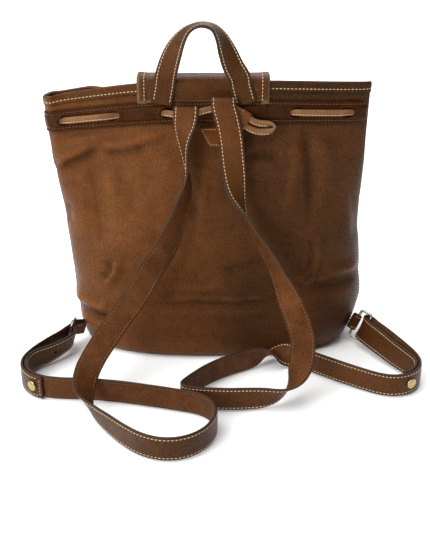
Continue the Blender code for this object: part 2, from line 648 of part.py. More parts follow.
def make_patch(surface):
    """Upside-down trapezoid with rounded corners, sewn under the casing."""
    place, across, up, _ = back_frame(2.0, 223.5, TOUCH_GAP + 0.25)
    corners = ((-16, 9.5), (-17.6, 6.5), (-9, -7.5), (-6, -9.5), (6, -9.5), (9, -7.5), (17.6, 6.5), (16, 9.5))
    return block("back_patch", corners, place, across, up, 1.5, surface)


FLAP_PROFILE = ((FLAP_HINGE_Y + 0.6, 280.4), (-2, 281.2), (6, 281.0), (12.5, 277.8), (16.6, 270),
                (18.8, 258), (20.6, 244), (23.6, 230), (27.0, 214), (30.4, 198), (33.4, 184))


def flap_samples():
    rows = smooth_path([(0, y, z) for y, z in FLAP_PROFILE], 2)
    return [Vector(row) for row in rows]


def make_flap_cover(surface):
    """The flap from its fold line over the mouth and down the front, with rounded lower corners."""
    samples = flap_samples()
    count = len(samples)
    lengths = [0.0]
    for a, b in zip(samples, samples[1:]):
        lengths.append(lengths[-1] + (b - a).length)
    total = lengths[-1]
    outer, inner = [], []
    for i, p in enumerate(samples):
        along = (samples[min(i + 1, count - 1)] - samples[max(i - 1, 0)]).normalized()
        out = along.cross(Vector((1, 0, 0)))
        out = -out if out.z < 0 or (abs(out.z) < 0.3 and out.y < 0) else out
        below = max(0.0, lengths[i] - (total - FLAP_CORNER)) / FLAP_CORNER
        trim = FLAP_CORNER * (1 - math.sqrt(max(0.0, 1 - below**2)))
        left, right = FLAP_LEFT + trim, FLAP_RIGHT - trim
        xs = np.linspace(left, right, 9)
        outer.append([Vector((x, p.y, p.z)) + out * FLAP_LEATHER / 2 for x in xs])
        inner.append([Vector((x, p.y, p.z)) - out * FLAP_LEATHER / 2 for x in xs])
    return sheet_between("flap_cover", outer, inner, surface)


def make_flap_root(surface):
    """The flap's sewn part on the back panel, up to the fold line."""
    heights = (BAND_HIGH + 0.6, RIM - HEM_DROP - 0.4, RIM - HEM_DROP + 1.6, RIM - 1)
    xs = np.linspace(FLAP_LEFT, FLAP_RIGHT, 19)
    gap = TOUCH_GAP + 0.2

    def row(height, offset):
        points = []
        for x in xs:
            angle = angle_at(x, height)
            p = wall_point(angle, height, offset + hem(height))
            points.append(p)
        return points

    inner = [row(z, gap) for z in heights]
    outer = [row(z, gap + FLAP_LEATHER) for z in heights]
    inner.append([Vector((x, -FLAP_ROOT_TOP_Y, FLAP_HINGE_Z)) for x in xs])
    outer.append([Vector((x, -FLAP_ROOT_TOP_Y - FLAP_LEATHER, FLAP_HINGE_Z)) for x in xs])
    return sheet_between("flap_root", outer, inner, surface)


def make_snap(leather_snap, front_metal):
    """Magnetic snap: a disc under the flap and its socket on the front panel."""
    height = 205.0
    place = wall_point(angle_at(-11.0, height, True), height, 0.0)
    above = wall_point(angle_at(-11.0, height + 20, True), height + 20, 0.0)
    lean = Vector((0, above.y - place.y, 20)).normalized()
    out = Vector((0, lean.z, -lean.y))
    socket = [(0, 0.5), (8.5, 0.5), (8.5, 2.0), (7.5, 2.6), (0, 2.6)]
    turned("snap_socket", socket, place, out, front_metal)
    disc = [(0, 3.2), (7.5, 3.2), (8.5, 3.8), (8.5, 4.9), (0, 4.9)]
    turned("flap_snap", disc, place, out, leather_snap)


HANDLE_FOOT_LEFT = -52.0
HANDLE_FOOT_RIGHT = 30.0
HANDLE_WIDE = 21.0
HANDLE_THICK = 3.0
HANDLE_LINE = 277.0

HANDLE_ARCH = (
    (-48, -15.2, 278.3, -1, 0, 0), (-47.9, -15.3, 279.8, -1, 0, 0), (-45, -16.2, 291, -0.95, 0.3, 0),
    (-40, -17.6, 305, -0.85, 0.55, 0), (-33.5, -18.6, 317.5, -0.6, 0.8, 0), (-24.5, -19.2, 328, -0.25, 1, 0),
    (-13, -19.4, 332.5, 0, 1, 0), (-2.5, -19.2, 330, 0.2, 1, 0), (5.5, -18.6, 320.5, 0.5, 0.85, 0),
    (11.5, -17.8, 307, 0.8, 0.6, 0), (17.5, -16.4, 292.5, 0.95, 0.3, 0), (24, -15.4, 282.5, 1, 0, 0),
    (24, -15.2, 279.5, 1, 0, 0),
)


def make_handle_foot(side, x, slant, surface):
    """The handle's sewn end, flat on the flap's root."""
    top = HANDLE_LINE
    low = BAND_HIGH + 0.8
    offset = TOUCH_GAP * 2 + 0.3 + FLAP_LEATHER + HANDLE_THICK / 2 + HEM_EXTRA
    middle = (low + top) / 2
    rows = []
    for part, z in ((0, low), (0, low + 1.5), (0.5, middle), (1, top - 1.5), (1, top)):
        rows.append((x + slant * part, back_y(x, z, offset), z, 1, 0, 0))
    return strip("handle_foot_" + side, rows, HANDLE_WIDE, HANDLE_THICK, surface, steps=2)


# ---------------------------------------------------------------- assembly

def clear_scene():
    for old in list(bpy.data.objects):
        bpy.data.objects.remove(old, do_unlink=True)


def main():
    clear_scene()
    bag = material("bag_leather", (0.23, 0.10, 0.045), 0.5)
    band = material("band_leather", (0.20, 0.085, 0.04), 0.5)
    strap = material("strap_leather", (0.25, 0.11, 0.05), 0.55)
    cord = material("cord_leather", (0.36, 0.18, 0.08), 0.5)
    patch = material("patch_leather", (0.15, 0.05, 0.015), 0.35)
    nickel = material("nickel", (0.62, 0.60, 0.56), 0.28, 1.0)
    brass = material("brass", (0.72, 0.62, 0.40), 0.3, 1.0)

    make_panel("back_panel", -1, bag)
    make_panel("front_panel", 1, bag)
    make_base(bag)
    make_band("casing_back", -1, BACK_SLOTS, band)
    make_band("casing_front", 1, FRONT_SLOTS, band)
    make_drawstring(cord)
    make_slider(cord)
    make_patch(patch)
    make_flap_root(bag)
    make_flap_cover(bag)
    make_snap(brass, brass)
    make_handle_foot("left", HANDLE_FOOT_LEFT, 4.0, strap)
    make_handle_foot("right", HANDLE_FOOT_RIGHT, -6.0, strap)
    strip("handle", HANDLE_ARCH, HANDLE_WIDE, HANDLE_THICK, strap, steps=3)

    left = make_strap("shoulder_strap_left", strap_top(LEFT_STRAP_X, 239.5, 250.2), LEFT_STRAP, strap)
    right = make_strap("shoulder_strap_right", strap_top(RIGHT_STRAP_X, 254.0, 258.8), RIGHT_STRAP, strap)
    hole_through(left, "stud_hole_left", LEFT_STUD, 7.0, STUD_HOLE, strap)
    hole_through(right, "stud_hole_right", RIGHT_STUD, 7.0, STUD_HOLE, strap)
    hole_through(left, "spare_hole_left", LEFT_SPARE_HOLE, 5.0, 1.8, strap)
    hole_through(right, "spare_hole_right", RIGHT_SPARE_HOLE, 5.0, 1.8, strap)
    make_stud("left", LEFT_STUD, brass)
    make_stud("right", RIGHT_STUD, brass)
    make_ring("ring_left", LEFT_RING, nickel)
    make_ring("ring_right", RIGHT_RING, nickel)
    make_tab("ring_tab_left", LEFT_RING, (-140.0, -26.2, 17.0), strap)
    make_tab("ring_tab_right", RIGHT_RING, (143.9, -19.8, 17.0), strap)


main()
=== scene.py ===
"""Looks of a soft leather drawstring backpack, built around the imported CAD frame.

Shapes are worked out in millimetres and turned into metres when a mesh is made. -Y is the back
panel that faces the camera, +Y the front, +Z up, and the origin is the middle of the base.
"""
import math
import bmesh
import bpy
import numpy as np
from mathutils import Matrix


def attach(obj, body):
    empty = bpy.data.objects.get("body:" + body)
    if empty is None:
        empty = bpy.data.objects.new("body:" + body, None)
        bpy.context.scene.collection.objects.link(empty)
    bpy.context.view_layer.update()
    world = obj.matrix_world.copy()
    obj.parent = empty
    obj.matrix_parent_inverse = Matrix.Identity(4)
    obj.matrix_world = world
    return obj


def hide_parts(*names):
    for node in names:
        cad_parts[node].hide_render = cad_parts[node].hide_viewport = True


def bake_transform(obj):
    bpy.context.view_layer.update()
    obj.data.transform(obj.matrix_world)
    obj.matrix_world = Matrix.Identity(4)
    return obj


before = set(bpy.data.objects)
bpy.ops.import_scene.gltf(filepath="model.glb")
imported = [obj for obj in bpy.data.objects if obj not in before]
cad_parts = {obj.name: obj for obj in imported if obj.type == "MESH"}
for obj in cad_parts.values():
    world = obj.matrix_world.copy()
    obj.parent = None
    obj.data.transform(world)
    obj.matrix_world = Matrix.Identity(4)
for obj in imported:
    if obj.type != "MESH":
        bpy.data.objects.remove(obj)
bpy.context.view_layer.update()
MM = 0.001

# ---------------------------------------------------------------- camera, lights and floor

CAMERA_PLACE = (0.0, -0.872, 0.480)
CAMERA_PITCH = 25.0
LENS = 60.3
FLOOR_WHITE = 0.97


def look_at(thing, place, target):
    thing.location = place
    way = [t - p for p, t in zip(place, target)]
    flat = math.hypot(way[0], way[1])
    thing.rotation_euler = (math.atan2(flat, -way[2]), 0, math.atan2(-way[0], way[1]))


def area_light(name, place, target, size, watts, colour=(1, 1, 1)):
    lamp = bpy.data.lights.new(name, "AREA")
    lamp.shape = "RECTANGLE"
    lamp.size, lamp.size_y = size
    lamp.energy = watts
    lamp.color = colour
    made = bpy.data.objects.new(name, lamp)
    bpy.context.collection.objects.link(made)
    look_at(made, place, target)


def make_studio():
    lens = bpy.data.cameras.new("camera")
    lens.lens = LENS
    lens.sensor_width = 36.0
    lens.clip_start = 0.05
    camera = bpy.data.objects.new("camera", lens)
    bpy.context.collection.objects.link(camera)
    camera.location = CAMERA_PLACE
    camera.rotation_euler = (math.radians(90 - CAMERA_PITCH), 0, 0)
    bpy.context.scene.camera = camera

    world = bpy.data.worlds.new("studio")
    world.use_nodes = True
    world.node_tree.nodes["Background"].inputs["Color"].default_value = (1, 1, 1, 1)
    world.node_tree.nodes["Background"].inputs["Strength"].default_value = 0.22
    bpy.context.scene.world = world
    bpy.context.scene.view_settings.view_transform = "Standard"

    sun = bpy.data.lights.new("overhead", "SUN")
    sun.energy = 3.9
    sun.angle = math.radians(80)
    made = bpy.data.objects.new("overhead", sun)
    bpy.context.collection.objects.link(made)
    look_at(made, (-0.8, 0.1, 2.0), (0, 0, 0))
    area_light("key", (-1.15, -1.05, 1.05), (0, -0.05, 0.14), (0.7, 0.7), 13)
    area_light("sheen", (-0.95, -1.75, 0.62), (0, -0.05, 0.14), (0.4, 0.4), 13)
    area_light("rim", (0.4, 1.6, 1.2), (0, 0, 0.15), (1.6, 0.8), 14)


# ---------------------------------------------------------------- materials

def node(tree, kind, inputs=None, **settings):
    made = tree.nodes.new(kind)
    for key, value in settings.items():
        setattr(made, key, value)
    for key, value in (inputs or {}).items():
        if isinstance(value, bpy.types.NodeSocket):
            tree.links.new(value, made.inputs[key])
        else:
            made.inputs[key].default_value = value
    return made


def new_material(name, **constants):
    made = bpy.data.materials.new(name)
    made.use_nodes = True
    tree = made.node_tree
    shader = tree.nodes["Principled BSDF"]
    for key, value in constants.items():
        shader.inputs[key.replace("_", " ")].default_value = value
    return made, tree, shader


def rgb(colour):
    return (*colour, 1.0)


def attribute(tree, name):
    return node(tree, "ShaderNodeAttribute", attribute_name=name)


def noise(tree, vector, scale, detail=3.0, rough=0.55):
    return node(tree, "ShaderNodeTexNoise",
                {"Vector": vector, "Scale": scale, "Detail": detail, "Roughness": rough}).outputs["Fac"]


def spread(tree, value, low, high, to_low, to_high):
    return node(tree, "ShaderNodeMapRange", {"Value": value, "From Min": low, "From Max": high,
                                             "To Min": to_low, "To Max": to_high}).outputs["Result"]


def blend_colour(tree, factor, a, b, how="MIX"):
    mix = node(tree, "ShaderNodeMix", data_type="RGBA", blend_type=how)
    for index, value in ((0, factor), (6, a), (7, b)):
        if isinstance(value, bpy.types.NodeSocket):
            tree.links.new(value, mix.inputs[index])
        else:
            mix.inputs[index].default_value = value
    return mix.outputs[2]


def maths(tree, how, a, b=0.0):
    made = node(tree, "ShaderNodeMath", {0: a, 1: b}, operation=how)
    return made.outputs[0]


def leather(name, light, dark, pebble=0.46, relief=0.7, roughness=(0.29, 0.43), mottle=0.018,
            valley=0.86, fleck=0.12, gloss=0.3):
    """Grained leather. Light and dark are its colours; pebble is the number of grains in a millimetre."""
    made, tree, shader = new_material(name, Specular_Tint=(1.0, 0.60, 0.34, 1.0))
    place = attribute(tree, "place").outputs["Vector"]
    tone = attribute(tree, "tone").outputs["Fac"]
    wobble = node(tree, "ShaderNodeTexNoise", {"Vector": place, "Scale": 0.35, "Detail": 2.0})
    bent = node(tree, "ShaderNodeVectorMath", {0: wobble.outputs["Color"], 1: (1.6, 1.6, 1.6)},
                operation="MULTIPLY")
    warped = node(tree, "ShaderNodeVectorMath", {0: place, 1: bent.outputs[0]}, operation="ADD").outputs[0]
    edge = node(tree, "ShaderNodeTexVoronoi", {"Vector": warped, "Scale": pebble, "Randomness": 1.0},
                feature="DISTANCE_TO_EDGE").outputs["Distance"]
    grain = spread(tree, edge, 0.0, 0.22, 0.0, 1.0)
    small_edge = node(tree, "ShaderNodeTexVoronoi", {"Vector": warped, "Scale": pebble * 2.3},
                      feature="DISTANCE_TO_EDGE").outputs["Distance"]
    small = spread(tree, small_edge, 0.0, 0.25, 0.0, 1.0)
    fine = noise(tree, place, 2.4, 3.0, 0.6)
    height = maths(tree, "ADD", maths(tree, "MULTIPLY", grain, 0.62), maths(tree, "MULTIPLY", small, 0.25))
    height = maths(tree, "ADD", height, maths(tree, "MULTIPLY", fine, 0.35))
    broad = noise(tree, place, mottle, 4.0, 0.6)
    medium = noise(tree, place, mottle * 6, 3.0, 0.6)
    patchy = maths(tree, "ADD", maths(tree, "MULTIPLY", broad, 0.7), maths(tree, "MULTIPLY", medium, 0.3))
    colour = blend_colour(tree, spread(tree, patchy, 0.34, 0.66, 0.0, 1.0), rgb(dark), rgb(light))
    flecks = spread(tree, noise(tree, place, 0.5, 2.0), 0.3, 0.7, 1.0 - fleck * 0.5, 1.0 + fleck * 0.5)
    shade = maths(tree, "MULTIPLY", spread(tree, height, 0.25, 1.0, valley, 1.08), flecks)
    shade = maths(tree, "MULTIPLY", shade, tone)
    grey = node(tree, "ShaderNodeCombineColor", {0: shade, 1: shade, 2: shade}).outputs[0]
    colour = blend_colour(tree, 1.0, colour, grey, "MULTIPLY")
    tree.links.new(colour, shader.inputs["Base Color"])
    rough = spread(tree, maths(tree, "ADD", maths(tree, "MULTIPLY", broad, 0.6),
                               maths(tree, "MULTIPLY", height, 0.4)), 0.3, 0.8, roughness[1], roughness[0])
    tree.links.new(rough, shader.inputs["Roughness"])
    shine = spread(tree, height, 0.4, 1.0, gloss * 0.5, gloss * 1.5)
    tree.links.new(shine, shader.inputs["Specular IOR Level"])
    bump = node(tree, "ShaderNodeBump", {"Height": height, "Strength": relief, "Distance": 0.0005})
    tree.links.new(bump.outputs[0], shader.inputs["Normal"])
    return made


def plain_surface(name, colour, roughness, scale=1.2, change=0.25, relief=0.2, metallic=0.0, spec=0.15):
    """Edge paint, thread and metal: one colour with fine wear, scratches and a little relief."""
    made, tree, shader = new_material(name, Metallic=metallic, Specular_IOR_Level=spec)
    place = attribute(tree, "place").outputs["Vector"]
    wear = noise(tree, place, scale, 4.0, 0.65)
    dark = [c * (1 - change) for c in colour]
    pale = [min(1.0, c * (1 + change)) for c in colour]
    tree.links.new(blend_colour(tree, spread(tree, wear, 0.35, 0.65, 0, 1), rgb(dark), rgb(pale)),
                   shader.inputs["Base Color"])
    tree.links.new(spread(tree, wear, 0.3, 0.7, roughness[0], roughness[1]), shader.inputs["Roughness"])
    bump = node(tree, "ShaderNodeBump", {"Height": noise(tree, place, scale * 4, 2.0),
                                         "Strength": relief, "Distance": 0.0002})
    tree.links.new(bump.outputs[0], shader.inputs["Normal"])
    return made


LOOKS = {
    "bag": leather("bag_look", (0.118, 0.039, 0.0095), (0.072, 0.021, 0.004)),
    # The casing band is a darker copy of the bag leather: painted shade for the shadowed casing.
    "band": leather("band_shade_look", (0.042, 0.012, 0.003), (0.028, 0.008, 0.0015), gloss=0.15),
    "strap": leather("strap_look", (0.082, 0.026, 0.006), (0.058, 0.018, 0.004), pebble=0.6, relief=0.6,
                     mottle=0.03),
    "reverse": leather("strap_reverse_look", (0.094, 0.030, 0.008), (0.056, 0.017, 0.004), pebble=0.5,
                       relief=0.6, mottle=0.05, roughness=(0.46, 0.66)),
    "cord": leather("cord_look", (0.215, 0.103, 0.046), (0.120, 0.052, 0.020), pebble=1.2, relief=0.25,
                    mottle=0.06),
    "patch": leather("patch_look", (0.150, 0.043, 0.005), (0.110, 0.030, 0.003), pebble=1.4, relief=0.08,
                     roughness=(0.3, 0.42), valley=0.9, fleck=0.1, gloss=0.3),
    "suede": leather("inside_look", (0.060, 0.032, 0.017), (0.035, 0.018, 0.009), pebble=1.8, relief=0.4,
                     roughness=(0.85, 0.95), gloss=0.06),
    "raw": leather("raw_edge_look", (0.300, 0.180, 0.095), (0.150, 0.080, 0.040), pebble=1.6, relief=0.5,
                   roughness=(0.75, 0.9), gloss=0.08),
    "paint": plain_surface("edge_paint_look", (0.034, 0.019, 0.012), (0.4, 0.6), 0.4, 0.35, 0.25),
    "thread": plain_surface("thread_look", (0.560, 0.440, 0.280), (0.65, 0.85), 1.6, 0.22, 0.5),
    "brown_thread": plain_surface("brown_thread_look", (0.190, 0.088, 0.040), (0.6, 0.8), 1.6, 0.25, 0.5),
    "nickel": plain_surface("nickel_look", (0.330, 0.310, 0.275), (0.18, 0.42), 0.7, 0.15, 0.2, metallic=1.0),
    "brass": plain_surface("brass_look", (0.400, 0.300, 0.150), (0.16, 0.38), 0.8, 0.14, 0.2, metallic=1.0),
    "hole": plain_surface("slot_shade_look", (0.010, 0.006, 0.004), (0.9, 1.0), 0.5, 0.3, 0.1),
}


# ---------------------------------------------------------------- numbers and fields

def ease(t):
    t = np.clip(t, 0.0, 1.0)
    return t * t * (3 - 2 * t)


def unit(ways):
    return ways / np.maximum(np.linalg.norm(ways, axis=-1, keepdims=True), 1e-9)


def distances(path):
    """How far along the path each of its points is."""
    return np.concatenate([[0], np.cumsum(np.linalg.norm(np.diff(path, axis=0), axis=1))])


def lumps(x, y, cell, seed):
    """Smooth random field from -1 to 1, with lumps about a cell across."""
    u, v = np.asarray(x, float) / cell + seed * 7.31, np.asarray(y, float) / cell + seed * 3.17
    i, j = np.floor(u), np.floor(v)
    fu, fv = ease(u - i), ease(v - j)

    def corner(a, b):
        h = np.sin(a * 127.1 + b * 311.7 + seed * 74.7) * 43758.5453
        return 2 * (h - np.floor(h)) - 1

    low = corner(i, j) * (1 - fu) + corner(i + 1, j) * fu
    high = corner(i, j + 1) * (1 - fu) + corner(i + 1, j + 1) * fu
    return low * (1 - fv) + high * fv


def fold_field(x, z, folds):
    """Sum of ridges and grooves. Each is a path, its width on either side, and its height."""
    total = np.zeros(np.broadcast(x, z).shape)
    for path, left_width, right_width, height in folds:
        path = np.array(path, float)
        steps = np.linalg.norm(np.diff(path, axis=0), axis=1)
        whole = steps.sum()
        best = np.full(total.shape, 1e9)
        side = np.zeros(total.shape)
        share = np.zeros(total.shape)
        gone = 0.0
        for a, b, step in zip(path[:-1], path[1:], steps):
            way = (b - a) / step
            along = np.clip((x - a[0]) * way[0] + (z - a[1]) * way[1], 0, step)
            dx, dz = x - a[0] - along * way[0], z - a[1] - along * way[1]
            away = np.hypot(dx, dz)
            near = away < best
            best = np.where(near, away, best)
            side = np.where(near, way[0] * dz - way[1] * dx, side)
            share = np.where(near, (gone + along) / whole, share)
            gone += step
        width = np.where(side > 0, left_width, right_width)
        taper = ease(share / 0.25) * ease((1 - share) / 0.25)
        total += height * np.exp(-(best / width)**2) * (0.15 + 0.85 * taper)
    return total


# ---------------------------------------------------------------- the bag's wall

# Each station is its height, half width, sideways shift, half depth and squareness.
SHELL_STATIONS = np.array((
    (0.0, 134.0, 0.0, 58.0, 2.5), (4.0, 138.0, 0.0, 61.0, 2.5), (10.0, 141.5, 0.5, 62.5, 2.5),
    (24.0, 146.0, 1.5, 61.5, 2.5), (48.0, 151.0, 2.0, 57.0, 2.5), (80.0, 150.5, 0.0, 50.0, 2.5),
    (120.0, 150.5, -2.0, 40.5, 2.6), (160.0, 152.0, -4.0, 31.0, 2.7), (200.0, 155.5, -6.0, 21.5, 2.8),
    (240.0, 158.5, -7.5, 13.0, 2.9), (276.0, 160.0, -8.0, 9.0, 3.0),
))
RIM = 276.0
HEM_DROP = 9.5
LEATHER = 2.0
BAND_LOW, BAND_HIGH = 237.0, 258.0
CORD_HEIGHT = 247.5
MOUTH_GAP = 7.4

# Ridges (above 0) and grooves (below 0) pressed into the back panel, each (sideways, height) points.
BACK_FOLDS = (
    (((-160, 199), (-150, 206), (-134, 213), (-118, 222)), 9, 4, 3.4),
    (((-158, 192), (-146, 199), (-130, 206), (-112, 214)), 4, 8, -2.6),
    (((-150, 222), (-132, 226), (-112, 227)), 6, 5, 1.6),
    (((-118, 219), (-96, 217), (-70, 222), (-48, 226)), 6, 4, 1.7),
    (((-112, 211), (-90, 209), (-64, 214)), 4, 7, -1.5),
    (((-127, 208), (-119, 175), (-115, 142), (-113, 108)), 10, 7, -2.3),
    (((-108, 200), (-103, 168), (-101, 140)), 12, 8, 1.6),
    (((-142, 180), (-137, 150), (-136, 118)), 9, 10, 1.8),
    (((-92, 196), (-78, 184), (-70, 164), (-72, 146)), 11, 8, 1.4),
    (((-78, 178), (-66, 166), (-60, 148)), 8, 10, -1.0),
    (((-96, 172), (-88, 150), (-90, 128)), 8, 10, 0.9),
    (((-101, 101), (-103, 88), (-112, 75)), 5, 3, 2.0),
    (((-107, 102), (-109, 88), (-117, 76)), 3, 6, -1.8),
    (((-152, 50), (-136, 51), (-122, 47), (-106, 47)), 8, 4, 4.0),
    (((-150, 38), (-134, 40), (-120, 36), (-102, 37)), 4, 7, -3.4),
    (((-146, 26), (-128, 27), (-108, 28)), 6, 6, 1.6),
    (((-21, 196), (-22, 176), (-22, 158), (-24, 138)), 9, 6, -2.6),
    (((-9, 198), (-10, 172), (-15, 148)), 6, 10, 2.2),
    (((89, 236), (92, 212), (95, 186), (96, 160), (95, 140)), 7, 6, -2.6),
    (((77, 222), (79, 196), (76, 168), (72, 146)), 10, 6, 2.4),
    (((108, 226), (112, 196), (112, 160)), 7, 9, 1.7),
    (((104, 128), (105, 106), (101, 89), (93, 82)), 3.0, 4.5, 1.5),
    (((98, 124), (99, 106), (95, 92)), 4.0, 3.0, -1.2),
    (((100, 88), (90, 79)), 2.2, 2.2, -1.1),
    (((84, 85), (94, 77)), 2.2, 2.2, 1.0),
    (((150, 78), (132, 75), (112, 73), (90, 74)), 7, 5, -2.6),
    (((150, 89), (132, 86), (112, 84)), 5, 7, 1.8),
    (((-60, 64), (-20, 65), (22, 63), (60, 66)), 2.6, 3.6, 0.8),
    (((-60, 59), (-20, 60), (22, 58), (60, 61)), 2.6, 2.6, -0.7),
    (((-64, 51), (-20, 50), (20, 49), (70, 51)), 2.6, 3.6, 0.7),
    (((4, 92), (30, 97), (52, 101)), 5, 7, -1.3),
    (((-46, 76), (-14, 74), (20, 80)), 6, 8, 1.2),
    (((44, 145), (60, 143.5), (74, 144.5)), 1.4, 1.4, 0.35),
    (((32, 204), (46, 208), (66, 204)), 5, 6, -1.3),
    (((26, 196), (44, 198), (62, 195)), 5, 7, 1.3),
    (((138, 172), (143, 140), (144, 112)), 8, 5, -1.6),
    (((-148, 160), (-150, 132)), 5, 5, -1.6),
)
FRONT_FOLDS = (
    (((-130, 228), (-118, 196), (-112, 160)), 8, 7, -2.4),
    (((-110, 226), (-100, 196), (-98, 168)), 8, 8, 1.9),
    (((96, 230), (104, 198), (106, 166)), 8, 7, -2.3), (((122, 228), (124, 196), (122, 160)), 8, 8, 1.8),
    (((-148, 70), (-120, 66), (-90, 68)), 6, 8, -2.6), (((150, 62), (118, 58), (86, 60)), 6, 8, -2.4),
    (((-60, 128), (-10, 120), (40, 126)), 10, 8, 1.3), (((-50, 60), (0, 57), (60, 61)), 6, 6, -1.1),
    (((66, 214), (72, 186), (70, 150)), 9, 7, 1.6), (((-86, 214), (-84, 180), (-88, 150)), 9, 7, -1.6),
)


def shell_row(height):
    """Half width, sideways shift, half depth and squareness at each height, smoothly blended."""
    height = np.asarray(height, float)
    heights, values = SHELL_STATIONS[:, 0], SHELL_STATIONS[:, 1:]
    last = len(heights) - 1
    i = np.clip(np.searchsorted(heights, height) - 1, 0, last - 1)
    low, high = np.maximum(np.arange(last + 1) - 1, 0), np.minimum(np.arange(last + 1) + 1, last)
    slopes = (values[high] - values[low]) / (heights[high] - heights[low])[:, None]
    span = (heights[i + 1] - heights[i])[..., None]
    t = np.clip((height[..., None] - heights[i][..., None]) / span, 0, 1)
    made = ((2 * t**3 - 3 * t**2 + 1) * values[i] + (t**3 - 2 * t**2 + t) * slopes[i] * span
            + (-2 * t**3 + 3 * t**2) * values[i + 1] + (t**3 - t**2) * slopes[i + 1] * span)
    return made[..., 0], made[..., 1], made[..., 2], made[..., 3]


def shell(angle, height, inset=0.0):
    """Point on the smooth wall. Angle 0 is the middle of the back, 90 the right seam, 180 the front."""
    angle, height = np.broadcast_arrays(np.asarray(angle, float), np.asarray(height, float))
    half_width, shift, half_depth, square = shell_row(height)
    sine, cosine = np.sin(np.radians(angle)), np.cos(np.radians(angle))
    power = 2.0 / square
    x = shift + (half_width - inset) * np.sign(sine) * np.abs(sine)**power
    near = np.where(np.abs(angle) <= 90, angle, np.sign(angle) * (180 - np.abs(angle)))
    loop = 6.0 * (height / RIM)**6 * np.exp(-((near + 70.0) / 10.0)**2)
    y = -np.sign(cosine) * ((half_depth - inset) * np.abs(cosine)**power + loop)
    closed = ease((height - 260) / 13) * ease((x + 126) / 24) * (np.abs(angle) > 90)
    beside_back = -half_depth * np.abs(cosine)**power + MOUTH_GAP * ease(np.abs(cosine) / 0.3) - inset
    y = y * (1 - closed) + beside_back * closed
    left, right = np.maximum(0.0, (-40.0 - x) / 128.0), np.maximum(0.0, (x - 60.0) / 92.0)
    droop = (16.0 * left**1.4 + 2.0 * right) * (height / RIM)**3
    return np.stack([x, y, height - droop - 2.6 * closed], -1)


def shell_out(angle, height):
    """Outward way at a place on the wall."""
    along = shell(np.asarray(angle) + 1.0, height) - shell(np.asarray(angle) - 1.0, height)
    up = shell(angle, np.asarray(height) + 2.0) - shell(angle, np.asarray(height) - 2.0)
    return unit(np.cross(along, up))


def back_y(x, height, offset=0.0):
    half_width, shift, half_depth, square = shell_row(height)
    across = np.minimum(0.999, np.abs((x - shift) / (half_width + offset)))
    return -(half_depth + offset) * (1 - across**square)**(1 / square)


def angle_at(x, height, front=False):
    half_width, shift, _, square = shell_row(height)
    across = np.clip((np.asarray(x, float) - shift) / half_width, -1, 1)
    angle = np.copysign(np.degrees(np.arcsin(np.abs(across)**(square / 2))), across)
    return np.copysign(180.0, across) - angle if front else angle


def relief(angle, height):
    """How far the sagging leather stands off the smooth wall, in millimetres."""
    place = shell(angle, height)
    x, z = place[..., 0], height * np.ones_like(place[..., 0])
    back = np.abs(angle) <= 90
    broad = (lumps(x, z, 74, 1) * 1.9 + lumps(x + 31, z, 38, 2) * 0.95
             + lumps(x, z * 0.6 + x * 0.3, 19, 3) * 0.42 + lumps(x * 1.1, z, 9.5, 4) * 0.14)
    folds = np.where(back, fold_field(x, z, BACK_FOLDS), fold_field(x, z, FRONT_FOLDS))
    calm = ease((z - 2) / 30) * ease((233 - z) / 26)
    rim_wave = lumps(x, z * 0.3, 33, 6) * 0.55 * ease((z - 225) / 25)
    corner = np.abs(np.abs(angle) - 90)
    side = ease(corner / 7)
    kept = (0.12 + 0.88 * ease((236 - z) / 10)) * ease((z - 6) / 16)
    sag = broad * 1.2 * calm + 1.25 * folds * kept
    return sag * (0.25 + 0.75 * side) + rim_wave * side


def wall(angle, height, offset=0.0, inset=0.0):
    """Point on the sagging wall, standing off it by an offset, or in from it by an inset."""
    angle, height = np.broadcast_arrays(np.asarray(angle, float), np.asarray(height, float))
    out = shell_out(angle, height)
    return shell(angle, height, inset) + out * (np.asarray(offset) + relief(angle, height))[..., None]


def even_angles(count, low=-90.0, high=90.0, height=140.0):
    """Wall angles that are evenly far apart along the wall."""
    fine = np.linspace(low, high, 4001)
    path = shell(fine, height)
    gone = distances(path)
    return np.interp(np.linspace(0, gone[-1], count), gone, fine)


# ---------------------------------------------------------------- mesh makers

def add_mesh(name, points, faces, looks, place=None, tone=None, face_look=None):
    """Closed mesh from points in millimetres. Place is each point's spot in the leather's grain."""
    mesh = bpy.data.meshes.new(name)
    points = np.asarray(points, float)
    mesh.from_pydata((points * MM).tolist(), [], [list(map(int, f)) for f in faces])
    for look in looks:
        mesh.materials.append(LOOKS[look])
    if face_look is not None:
        mesh.polygons.foreach_set("material_index", np.asarray(face_look, np.int32))
    shape = bmesh.new()
    shape.from_mesh(mesh)
    bmesh.ops.recalc_face_normals(shape, faces=shape.faces)
    shape.to_mesh(mesh)
    shape.free()
    spots = mesh.attributes.new("place", "FLOAT_VECTOR", "POINT")
    spots.data.foreach_set("vector", np.asarray(points if place is None else place, np.float32).ravel())
    tones = mesh.attributes.new("tone", "FLOAT", "POINT")
    tones.data.foreach_set("value", np.asarray(np.ones(len(points)) if tone is None else tone, np.float32))
    mesh.shade_smooth()
    made = bpy.data.objects.new(name, mesh)
    bpy.context.collection.objects.link(made)
    return made


def belong(piece, body, node_name):
    """The piece rides on the body and stands in for the CAD node, which is hidden."""
    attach(piece, body)
    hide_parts(node_name)


